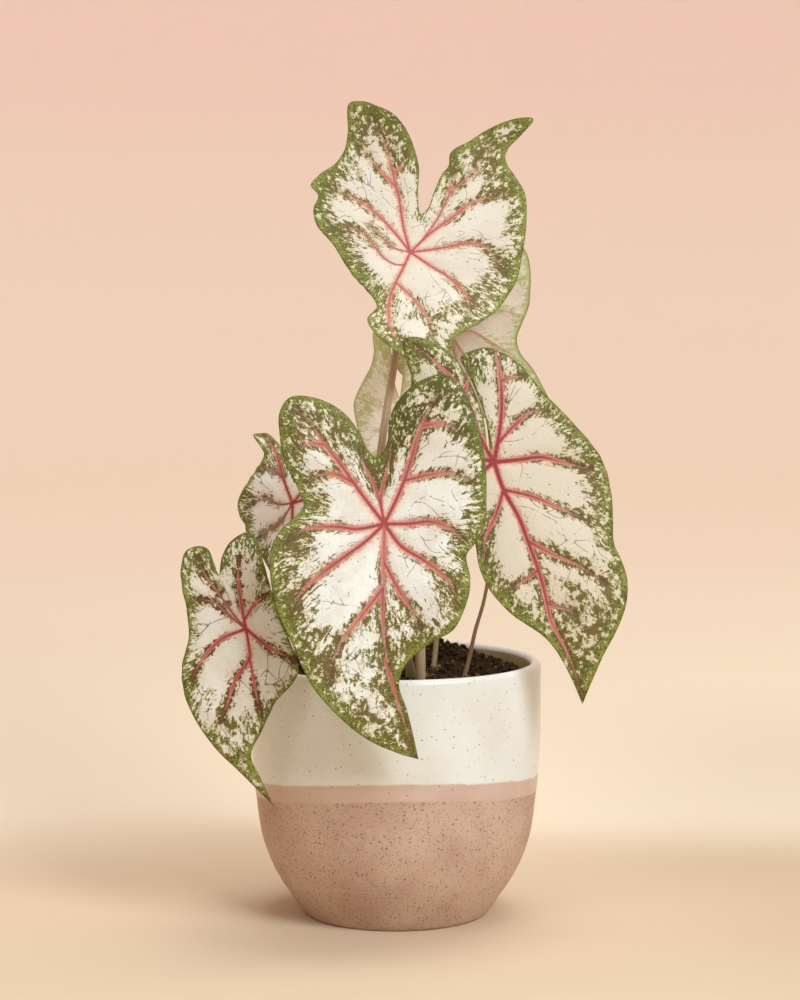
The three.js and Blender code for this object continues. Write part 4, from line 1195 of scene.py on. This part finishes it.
def leaf_pattern(finish, flat, streak, gather, soft):
    """Shares of green and of a pale wash: blots drawn out along the leaf's rays, and curly strands."""
    ragged = finish.cloud(flat, 1.1, 3, 0.6)
    blots = finish.cloud(flat, 0.2, 2, 0.5, 1.3)
    drawn = finish.cloud(streak, 0.95, 2, 0.5, 1.2)
    warp = finish.joined(finish.times(ragged, 0.9), finish.times(blots, 1.4))
    islands = finish.cells(finish.shifted(streak, warp), 1.2).outputs["Distance"]
    total = finish.times_plus(blots, 1.8, finish.times(drawn, 2.5))
    total = finish.times_plus(ragged, 1.8, total)
    total = finish.times_plus(islands, 0.9, total)
    centred = finish.calc("SUBTRACT", total, FLAKE_MIDDLE)
    lively = finish.ease(gather, 0.0, 0.35, 0.5, 1.0)
    level = finish.times_plus(centred, lively, gather)
    solid = finish.ease(level, GREEN_FROM - soft, GREEN_FROM + soft)

    nearer = finish.calc("MINIMUM", winding(finish, flat, 0.42), winding(finish, streak, 0.7))
    strand = finish.times(finish.ease(nearer, 0.055, 0.025), finish.ease(level, 0.0, GREEN_FROM))
    strand = finish.times(strand, finish.ease(gather, 0.1, 0.3))
    wash = finish.times(finish.ease(level, -0.05, GREEN_FROM - 0.05), finish.ease(gather, 0.1, 0.35))
    return finish.calc("MAXIMUM", solid, finish.times(strand, 0.85)), wash


# %% [markdown]
# ### Cream and olive
# Neither colour is even. Cream is warmer in broad clouds and beside the veins, where the blush is partly
# painted shade in the grooves, and the smallest veins cross it as dark cracks. Both colours also take
# painted shade, and some cream takes painted light. Olive is lighter at the rim and browner inwards, with
# lemon dots in it. Each is mixed whole, as if it covered the leaf, because two plain recipes are easier
# to tune than one that changes its mind from place to place.

# %% Mix the cream
def leaf_cream(finish, leaf, flat, rib, thread, dark):
    """Cream with broad and fine mottling, painted shade and painted light, a blush beside the veins, dark
    threads and a little grit.
    """
    broad = finish.ease(finish.cloud(flat, 0.055, 3, 0.6), 0.38, 0.7, 0.0, 0.6)
    fine = finish.ease(finish.cloud(flat, 0.5, 4, 0.7), 0.5, 0.75, 0.0, 0.35)
    cream = finish.blend(fine, finish.blend(broad, CREAM, CREAM_MOTTLE_AND_SHADE), CREAM_MOTTLE_AND_SHADE)
    # painted shade: each leaf's own share of shade, and its shade spot, deepen the cream
    cream = finish.blend(finish.times_plus(dark, 0.75, leaf["shade"]), cream, CREAM_MOTTLE_AND_SHADE)
    # painted light: on some leaves the cream is lightened, as if lit
    cream = finish.blend(leaf["light"], cream, CREAM_PAINTED_LIGHT)
    # a blush beside the veins: partly the leaf's own pink, partly painted shade in the grooves along them
    cream = finish.blend(finish.ease(rib, 6.0, 0.0, 0.0, 0.45), cream, BLUSH_AND_GROOVE_SHADE)
    patchy = finish.ease(finish.cloud(flat, 0.12, 2), 0.42, 0.52)
    line = finish.times(finish.ease(thread, 0.36, 0.12), patchy)
    cream = finish.blend(finish.times(line, 0.4 + 0.4 * leaf["comb"]), cream, THREAD)
    grit = finish.specks(flat, 0.3, 0.14, 0.22)
    return finish.blend(finish.times(grit, 0.85), cream, DARK_OLIVE)


# %% Mix the olive
def leaf_green(finish, flat, streak, margin, dark):
    """Olive with a lighter rim and a bronze inner part, painted shade in the shade spot, lemon dots, and a
    dark line at the very edge.
    """
    fine = finish.cloud(flat, 0.9, 4, 0.65)
    broad = finish.cloud(flat, 0.09, 2)
    leafy = finish.blend(finish.ease(fine, 0.4, 0.58), DARK_OLIVE, OLIVE)
    rim = finish.times(finish.ease(margin, 6.0, 1.0, 0.0, 0.8), finish.ease(broad, 0.6, 0.42))
    leafy = finish.blend(finish.times(rim, finish.ease(fine, 0.36, 0.55)), leafy, LIGHT_OLIVE)
    leafy = finish.blend(finish.ease(margin, 3.0, 11.0, 0.0, 0.65), leafy, BRONZE)
    # painted shade: the olive deepens in the leaf's shade spot
    leafy = finish.blend(finish.times(dark, 0.85), leafy, DARK_OLIVE)
    warp = finish.joined(finish.times(fine, 1.5), finish.times(broad, 4.0))
    dots = finish.cells(finish.shifted(streak, warp), 1.5)
    chosen = finish.axis(dots.outputs["Color"], "X")
    dot_size = finish.times(finish.ease(margin, 0.3, 4.0, 0.22, 0.42), chosen)
    dot = finish.ease(finish.calc("SUBTRACT", dots.outputs["Distance"], dot_size), 0.05, -0.05)
    leafy = finish.blend(finish.times(dot, 0.8), leafy, LEMON)
    return finish.blend(finish.ease(margin, 0.5, 0.15, 0.0, 0.5), leafy, DARK_OLIVE)


# %% [markdown]
# ### Red veins
# A rib is a red core with a pink glow that frays into the cream like wet paint, and brown teeth stand
# beside it further out. All three are cut from the distance to the vein's side, which noise that
# runs along the vein makes uneven. A painted picture could do it too, but would be soft when seen close.

# %% Paint the veins
def vein_paint(finish, painted, leaf, rib, reach, along, depth, glow):
    """Dark teeth along the outer veins, the feathered pink glow over them, and the red core on top."""
    brush = finish.joined(finish.times(along, 0.75), finish.times(rib, 0.18))
    teeth = finish.calc("SUBTRACT", finish.cloud(brush, 1.0, 3, 0.75), 0.5)
    coarse = finish.calc("SUBTRACT", finish.cloud(finish.shifted(brush, (31, 5, 2)), 0.6, 2, 0.6), 0.5)
    comb = finish.ease(finish.times_plus(coarse, 9.0, rib), 1.7, 1.0)
    comb = finish.times(comb, finish.ease(reach, 0.1, 0.4, 0.0, leaf["comb"]))
    painted = finish.blend(comb, painted, COMB)

    frayed = finish.times_plus(teeth, 5.5, finish.calc("DIVIDE", rib, glow))
    frayed = finish.times_plus(finish.ease(reach, 0.55, 1.0), 2.2, frayed)
    halo = finish.ease(frayed, 2.0, 0.6)
    painted = finish.blend(finish.times(halo, 0.4 + 0.45 * leaf["red"]), painted, ROSE)

    worn = finish.times_plus(teeth, 1.6, rib)
    worn = finish.times_plus(finish.ease(reach, 0.5, 1.0), 0.8, worn)
    core = finish.ease(worn, 0.3, -0.15)
    rib_red = finish.blend(finish.ease(reach, 0.2, 0.85), RASPBERRY, FADED_RED)
    rib_red = finish.blend(finish.ease(rib, -0.2, -0.7, 0.0, 0.5), rib_red, DEEP_RED)
    rib_red = finish.blend(depth, PALE_RIB, rib_red)
    rib_red = finish.blend(0.6 * (1 - leaf["red"]), rib_red, ROSE)
    rib_red = finish.blend(finish.ease(glow, 0.42, 0.3, 0.0, 0.6), rib_red, BROWN_VEIN)
    share = finish.times(core, finish.ease(reach, 0.5, 0.95, 1.0, 0.1))
    return finish.blend(share, painted, rib_red), core


# %% Put the leaf's finish together
SHEER_RADIUS = (0.8, 0.95, 0.8)


def leaf_finish(name, leaf, under):
    """The finish of a blade's upper side or, where under is true, of its milky underside."""
    finish = Finish(name)
    flat = finish.at_points("flat", vector=True)
    streak = finish.at_points("streak", vector=True)
    margin, rib, reach, along = map(finish.at_points, ("margin", "rib", "reach", "along"))
    gather, thread, dark = map(finish.at_points, ("gather", "thread", "dark"))
    depth, glow = map(finish.at_points, ("depth", "glow"))

    green, wash = leaf_pattern(finish, flat, streak, gather, 0.3 if under else 0.07)
    cream = leaf_cream(finish, leaf, flat, rib, thread, dark)
    cream = finish.blend(finish.times(wash, 0.85), cream, PALE_GREEN)
    painted = finish.blend(green, cream, leaf_green(finish, flat, streak, margin, dark))
    painted, core = vein_paint(finish, painted, leaf, rib, reach, along, depth, glow)
    if under:
        # painted shade: a leaf's share of shade also darkens its milky underside
        milk = finish.blend(leaf["shade"], MILK, MILK_PAINTED_SHADE)
        painted = finish.blend(0.8, painted, finish.blend(green, milk, MILK_GREEN))
        painted = finish.blend(finish.times(core, 0.6), painted, UNDER_ROSE)
        painted = finish.blend(finish.ease(margin, 1.3, 0.4, 0.0, 0.75), painted, OLIVE)
    finish.set(Base_Color=painted, Specular_IOR_Level=0.2)
    grain = finish.cloud(flat, 0.9, 4, 0.6)
    finish.set(Roughness=finish.times_plus(grain, 0.25, 0.55 if under else 0.44))
    if leaf["sheer"]:
        finish.set(Subsurface_Weight=leaf["sheer"], Subsurface_Radius=SHEER_RADIUS, Subsurface_Scale=0.004)

    quilt = finish.cells(flat, 0.32, "DISTANCE_TO_EDGE").outputs["Distance"]
    raised = finish.times_plus(finish.ease(quilt, 0.0, 0.22), 0.5, grain)
    finish.relief(finish.times_plus(finish.ease(thread, 0.0, 0.8), 0.6, raised), 0.5, 0.22)
    return finish.material


# %% [markdown]
# ## The blades
# A leaf's blade is half a millimetre of soft tissue that swells between its veins. On its upper side the
# veins lie in grooves, and on the underside they stand out as keels. So the net is laid twice, once for
# each side, with lifts that differ, and a thin wall closes the edge. Thickening one surface evenly would
# lose the keels.

# %% Give the blade its body
BLADE_THICKNESS = 0.55
EDGE_THICKNESS = 0.22
THIN_MARGIN = 2.5         # over how far the blade thins out to its edge
PUCKER = 0.75             # how far the blade swells between veins
PUCKER_SIZE = 5           # how far from a vein most of the swelling is reached
PUCKER_MARGIN = 9         # how far from the edge it is full
GROOVE = 0.4              # how deep a vein sinks in the upper side
KEEL = 1.1                # how far a main rib stands out below, at the junction
FLUTTER = 0.35            # how far the edge waves up and down
FLUTTER_WAVES = 23
FLUTTER_REACH = 4


def turn_of(corners):
    """Twice the area that a flat closed line goes round, over 0 where it turns left."""
    after = np.roll(corners, -1, axis=-2)
    return np.sum(corners[..., 0] * after[..., 1] - after[..., 0] * corners[..., 1])


def blade_points(leaf, flat, margin, rib, half):
    """Upper and lower points of the curled blade."""
    core_away = rib + half
    swell = PUCKER * (1 - np.exp(-(core_away / PUCKER_SIZE) ** 2)) * (margin / PUCKER_MARGIN).clip(0, 1)
    groove = GROOVE * (half / RIB_HALF_WIDTH[0]) ** 0.5 * np.exp(-(core_away / (0.5 + half)) ** 2)
    thin = (margin / THIN_MARGIN).clip(0, 1)
    angle = np.arctan2(flat[:, 1], flat[:, 0])
    uneven = 3 * np.sin(5 * angle)
    flutter = FLUTTER * np.sin(FLUTTER_WAVES * angle + uneven) * np.exp(-margin / FLUTTER_REACH)
    upper = swell - groove * thin + flutter
    thickness = EDGE_THICKNESS + (BLADE_THICKNESS - EDGE_THICKNESS) * thin
    keel = KEEL * (half / RIB_HALF_WIDTH[0]) * np.exp(-(core_away / (0.35 + half)) ** 2) * thin
    lower = upper + groove * thin - thickness - keel
    return curled(leaf, flat, upper), curled(leaf, flat, lower)


# %% Join the two sides
def blade_faces(flat, faces, ring):
    """Faces of the upper side, of the underside, and of the thin wall round the edge between them."""
    count = len(flat)
    if turn_of(flat[np.array(faces)]) < 0:
        faces = [(a, c, b) for a, b, c in faces]
    under = [(a + count, c + count, b + count) for a, b, c in faces]
    order = ring if turn_of(flat[ring]) > 0 else ring[::-1]
    wall = [(a, a + count, b + count, b) for a, b in zip(order, order[1:] + order[:1])]
    return faces, under, wall


# %% Grow the seven leaves
LEAF_SHIFT = 311          # how far apart the leaves lie in the noise, sideways
LEAF_DEPTH = 5.0          # and in depth
STREAK_SHIFT = 40
RAY_WIDTH = 24            # the radius of the streaks' space
RAY_SHRINK = 6            # how many times shorter a step outwards is there


def grow_leaf(name, leaf, number):
    outline, veins, threads, flat, faces = leaf_net(leaf, random.Random(100 + number))
    ring = [int(np.hypot(*(flat - point).T).argmin()) for point in outline]
    margin = nearest(flat, outline, np.roll(outline, -1, axis=0))[1]
    margin[ring] = 0
    rib, reach, run, half, depth, glow = vein_facts(flat, leaf, veins)
    upper, lower = blade_points(leaf, flat, margin, rib, half)
    faces, under, wall = blade_faces(flat, faces, ring)
    finishes = [leaf_finish(f"leaf_{name}_{side}", leaf, side == "under") for side in ("upper", "under")]
    which = [0] * len(faces) + [1] * len(under) + [0] * len(wall)
    piece = piece_from(f"leaf_{name}", np.vstack([upper, lower]), faces + under + wall, finishes, which)

    # Each leaf lies in its own part of the noise, so no two get the same pattern. In the streaks' space
    # a step outwards is short and a step round is long, which draws the flakes out along the rays.
    away = np.hypot(flat[:, 0], flat[:, 1])
    ray = flat / away.clip(1e-3)[:, None]
    kept = {
        "flat": np.column_stack([flat + (LEAF_SHIFT * number, 0), np.full(len(flat), LEAF_DEPTH * number)]),
        "streak": np.column_stack([ray * RAY_WIDTH, away / RAY_SHRINK]) + STREAK_SHIFT * number,
        "margin": margin, "rib": rib, "reach": reach, "along": run, "depth": depth, "glow": glow,
        "gather": green_facts(flat, leaf, margin, rib, reach),
        "thread": thread_facts(flat, threads),
        # the painted shade spot, where all colours are painted deeper
        "dark": round_spot(flat, *leaf["dusk"]),
    }
    for word, values in kept.items():
        keep_at_points(piece, word, np.concatenate([values, values]))
    stands_for(piece, f"blade_{name}")


for number, (name, leaf) in enumerate(LEAVES.items()):
    grow_leaf(name, leaf, number)

# %% [markdown]
# ## The stalks
# Each leaf has its own stalk, thick and sheathing where it leaves the tuber and slender under the blade.
# It follows a curve with a few points, and two numbers give its radius at the foot and at the top. A tube
# made ring by ring can taper, carry fine lengthwise ridges and flare where it meets the blade, which
# a round tube swept by a curve object can't.

# %% Route the stalks
STALKS = {
    "front": ([(12, -24, 107), (13, -42, 134), (12, -44, 170), (3, -56, 206)], (2.7, 1.7)),
    "right": ([(24, -12, 107), (37, -24, 134), (43, -24, 159), (48, -24, 177), (54, -28, 224)],
              (1.1, 0.85)),
    "top": ([(-8, 2, 112), (-16, 5, 134), (-14, 9, 185), (-9, 18, 249), (0, 34, 308), (5, 50, 342)],
            (2.6, 1.8)),
    "low_left": ([(-12, -9, 110), (-21, -13, 132), (-34, -24, 149), (-52, -38, 158), (-66, -47, 161)],
                 (2.4, 1.5)),
    "left": ([(3, -22, 107), (8, -34, 134), (-2, -34, 170), (-32, -20, 210)], (2.4, 1.4)),
    "back_right": ([(14, -8, 111), (20, -20, 136), (25, 0, 190), (32, 26, 250), (37, 47, 294)],
                   (1.3, 1.2)),
    "back_left": ([(0, 6, 113), (-4, 12, 134), (-3, 20, 180), (1, 34, 236)], (2.3, 1.5)),
}
STALK_SIDES = 28
STALK_STEP = 1.6
STALK_APPROACH = 8        # how far a stalk runs straight up to the blade
SEAT_DEPTH = 1.3          # how far below the upper face a stalk ends, inside the keel of the ribs
RIDGE = 0.02              # the height of the lengthwise ridges, against the radius
SHEATH_SWELL = 0.15       # how much thicker a stalk is where it sheathes
SHEATH_TOP = 158
SHEATH_FADE = 6
FLARE = 0.3               # how much thicker it gets just under the blade
FLARE_LENGTH = 2.2


# %% Build a tube along a route
def stalk_tube(route, base, top):
    """Points, faces and a grain for the streaks, of a tube that runs along a route."""
    line = smooth_line(route, STALK_STEP)
    along = np.gradient(line, axis=0)
    along /= np.linalg.norm(along, axis=1)[:, None]
    side = np.cross(along[0], (0, 0, 1) if abs(along[0][2]) < 0.9 else (1, 0, 0))
    points = []
    share = np.linspace(0, 1, len(line))
    turns = np.linspace(0, 2 * math.pi, STALK_SIDES, endpoint=False)
    ridges = 1 + RIDGE * np.cos(9 * turns) + RIDGE * np.cos(4 * turns + 1)
    for i, (place, forward) in enumerate(zip(line, along)):
        side = side - forward * (side @ forward)
        side /= np.linalg.norm(side)
        other = np.cross(forward, side)
        size = base + (top - base) * share[i]
        sheath = SHEATH_SWELL * (1 / (1 + math.exp((place[2] - SHEATH_TOP) / SHEATH_FADE)))
        flare = FLARE * math.exp(-(len(line) - 1 - i) * STALK_STEP / FLARE_LENGTH)
        ring = size * (1 + sheath + flare) * ridges
        round_about = np.cos(turns)[:, None] * side + np.sin(turns)[:, None] * other
        points.append(place + ring[:, None] * round_about)
    rings = len(points)
    points = np.vstack(points + [line[:1], line[-1:]])
    faces = []
    for i in range(rings - 1):
        for j in range(STALK_SIDES):
            here, after = i * STALK_SIDES + j, i * STALK_SIDES + (j + 1) % STALK_SIDES
            faces.append((here, after, after + STALK_SIDES, here + STALK_SIDES))
    last = (rings - 1) * STALK_SIDES
    for j in range(STALK_SIDES):
        after = (j + 1) % STALK_SIDES
        faces.append((rings * STALK_SIDES, after, j))
        faces.append((rings * STALK_SIDES + 1, last + j, last + after))
    grain = np.column_stack([np.tile(np.cos(turns) * 2, rings), np.tile(np.sin(turns) * 2, rings),
                             np.repeat(share * 1.2, STALK_SIDES)])
    grain = np.vstack([grain, (0, 0, 0), (0, 0, 1.2)])
    return points, faces, grain


# %% Streak the stalks
STALK_DULL = colour(170, 146, 118)
STALK_PALE = colour(208, 186, 156)
STALK_GREEN = colour(136, 130, 88)
STALK_ROSE = colour(166, 122, 104)
STALK_DASH = colour(84, 58, 44)


def stalk_finish():
    finish = Finish("stalk_skin")
    grain = finish.at_points("grain", vector=True)
    place = finish.place()
    streaks = finish.cloud(finish.scaled(grain, (2.4, 2.4, 1.5)), 1.0, 5, 0.7)
    base = finish.blend(finish.ease(streaks, 0.38, 0.62), STALK_DULL, STALK_PALE)
    low = finish.ease(finish.axis(place, "Z"), 260.0, 150.0, 0.0, 0.45)
    base = finish.blend(low, base, STALK_GREEN)
    rosy = finish.ease(finish.cloud(finish.scaled(grain, (1.1, 1.1, 5)), 1.0, 2), 0.5, 0.66, 0.0, 0.5)
    base = finish.blend(rosy, base, STALK_ROSE)
    dashes = finish.specks(finish.scaled(place, (1, 1, 0.4)), 0.9, 0.2, 0.25)
    finish.set(Base_Color=finish.blend(finish.times(dashes, 0.45), base, STALK_DASH))
    finish.set(Roughness=finish.times_plus(streaks, 0.2, 0.4))
    finish.set(Subsurface_Weight=0.08, Subsurface_Scale=0.0015)
    finish.relief(streaks, 0.5, 0.4)
    return finish.material


# %% Grow the stalks
stalk_skin = stalk_finish()
for number, (name, (route, (base, top))) in enumerate(STALKS.items()):
    leaf = LEAVES[name]
    here, below = np.zeros((2, 2)), np.array([-SEAT_DEPTH, -SEAT_DEPTH - STALK_APPROACH])
    seat, approach = curled(leaf, here, below)
    points, faces, grain = stalk_tube([*route, approach, seat], base, top)
    piece = piece_from(f"leafstalk_{name}", points, faces, [stalk_skin])
    # Each stalk lies in its own part of the noise, as each leaf does.
    keep_at_points(piece, "grain", grain + (0, 0, 7 * number))
    stands_for(piece, f"stalk_{name}")

# %% [markdown]
# ## A quiet studio
# The plant stands on a plain peach ground that rises, all round and far away, into a plain wall, as in
# a paper sweep. The ground is painted darker near the pot and on its right, as painted shade, and the
# far paper glows with a painted light of its own, though it is no lamp. A big soft lamp from the right
# and front models the forms, a weaker one high on the left opens the shadows, one from above lights the
# soil, and the room adds an even light.

# %% Build the sweep
SWEEP_LEVEL = -0.2        # the paper lies this little below the foot of the pot, so the two don't touch
SWEEP_FLOOR = 2300
SWEEP_WALL = 3300
SWEEP_TOP = 3600
SWEEP_STEP = 60
SWEEP_SIDES = 96
# painted light: the far paper glows, though it is no lamp
PAPER_GLOW = 0.385        # light that the far paper gives back on its own
WALL_LOW = colour(225, 208, 190)
WALL_MIDDLE = colour(225, 204, 188)
WALL_HIGH = colour(226, 199, 187)
GROUND_LIT = colour(234, 220, 196)
GROUND_FAR = colour(227, 211, 190)
# painted shade: the next three colours darken the ground near the pot and on its right
GROUND_NEAR_SHADE = colour(216, 196, 168)
LEE_SHADE = colour(240, 239, 238)
LEE_NEAR_SHADE = colour(246, 243, 240)

# The line runs outwards and then up. Turning it closes it with a lid, which is taken off again.
sweep_route = [(0, SWEEP_LEVEL), (900, SWEEP_LEVEL), (SWEEP_FLOOR, SWEEP_LEVEL), (SWEEP_FLOOR + 640, 130),
               (SWEEP_WALL - 90, 620), (SWEEP_WALL, 1400), (SWEEP_WALL, SWEEP_TOP)]
sweep_line = smooth_line(sweep_route, SWEEP_STEP)
sweep_line[:, 1] = sweep_line[:, 1].clip(SWEEP_LEVEL)
sweep_points, sweep_faces = turned(sweep_line, SWEEP_SIDES)
sweep_faces = [face for face in sweep_faces if len(face) == 4 or max(face) < len(sweep_points) - 1]


# %% Tone the paper
def paper():
    finish = Finish("peach_paper")
    place = finish.place()
    sideways, depth, height = (finish.axis(place, letter) for letter in "XYZ")
    away = finish.node("ShaderNodeVectorMath", {"operation": "LENGTH"}, Vector=place).outputs["Value"]
    wall = finish.blend(finish.ease(height, 150.0, 520.0), WALL_LOW, WALL_MIDDLE)
    wall = finish.blend(finish.ease(height, 500.0, 760.0), wall, WALL_HIGH)
    # painted shade: the ground is painted darker near the pot
    drift = finish.times_plus(finish.cloud(place, 0.0022, 2), 260.0, depth)
    near = finish.ease(drift, 400.0, 200.0)
    ground = finish.blend(finish.ease(away, 900.0, 2100.0), GROUND_LIT, GROUND_FAR)
    ground = finish.blend(near, ground, GROUND_NEAR_SHADE)
    # painted shade: the ground on the right of the pot is painted darker still
    right_shade = finish.times(finish.ease(sideways, 0.0, 320.0), finish.ease(depth, 900.0, 420.0))
    ground = finish.blend(right_shade, ground, LEE_SHADE, "MULTIPLY")
    right_shade = finish.times(right_shade, finish.ease(depth, -190.0, -30.0))
    ground = finish.blend(finish.times(right_shade, near), ground, LEE_NEAR_SHADE, "MULTIPLY")
    tint = finish.blend(finish.ease(height, 0.0, 260.0), ground, wall)
    # painted light: the paper glows in its own tint, more so far away and behind the plant
    finish.set(Base_Color=tint, Emission_Color=tint)
    behind = finish.ease(depth, 200.0, 1500.0)
    glow = finish.ease(away, 400.0, 2400.0, 0.0, PAPER_GLOW)
    finish.set(Emission_Strength=finish.times(behind, glow))
    rough = finish.times_plus(finish.cloud(place, 0.02), 0.1, 0.85)
    finish.set(Roughness=rough, Specular_IOR_Level=0.15)
    return finish.material


sweep = piece_from("paper_sweep", sweep_points, sweep_faces, [paper()])
sweep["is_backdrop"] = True
print("sweep:", len(sweep_faces), "faces")

# %% Hang the lamps
KEY_POWER = 40            # watts
FILL_POWER = 8
TOP_POWER = 22
DAYLIGHT = (0.91, 1.0, 1.06)
PLAIN_WHITE = (1, 1, 1)
LAMP_AIM = (0, 0, 0.22)   # the middle of the plant, in metres, as all places of lamps are
ROOM_LIGHT = 0.27
ROOM_WHITE = colour(250, 247, 236)


def soft_lamp(name, place, size, power, tint):
    data = bpy.data.lights.new(name, "AREA")
    data.shape = "DISK"
    data.size = size
    data.energy = power
    data.color = tint
    lamp = bpy.data.objects.new(name, data)
    bpy.context.scene.collection.objects.link(lamp)
    lamp.location = Vector(place)
    lamp.rotation_euler = (Vector(LAMP_AIM) - lamp.location).to_track_quat("-Z", "Y").to_euler()
    print(f"{name} lamp: {power} W, {size} m across")


soft_lamp("key", (1.12, -1.62, 1.5), 1.0, KEY_POWER, DAYLIGHT)
soft_lamp("fill", (-1.0, -1.5, 2.1), 1.0, FILL_POWER, PLAIN_WHITE)
soft_lamp("top", (0.3, 0.4, 2.0), 1.4, TOP_POWER, PLAIN_WHITE)

world = bpy.data.worlds.new("room")
bpy.context.scene.world = world
world.use_nodes = True
background = world.node_tree.nodes["Background"]
background.inputs["Color"].default_value = ROOM_WHITE
background.inputs["Strength"].default_value = ROOM_LIGHT
bpy.context.scene.view_settings.view_transform = "Standard"

# %% [markdown]
# ## The size, plain and dressed
# The looks are meant to keep what the part measures, so the box of the plain solids and the box of the
# dressed plant are printed side by side.

# %% Print both boxes
VISUAL_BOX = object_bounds()
for axis, letter in enumerate("xyz"):
    sides = [(box[1][axis] - box[0][axis]) / MM for box in (CAD_BOX, VISUAL_BOX)]
    print(f"{letter}: solids {sides[0]:.1f} mm, dressed {sides[1]:.1f} mm")
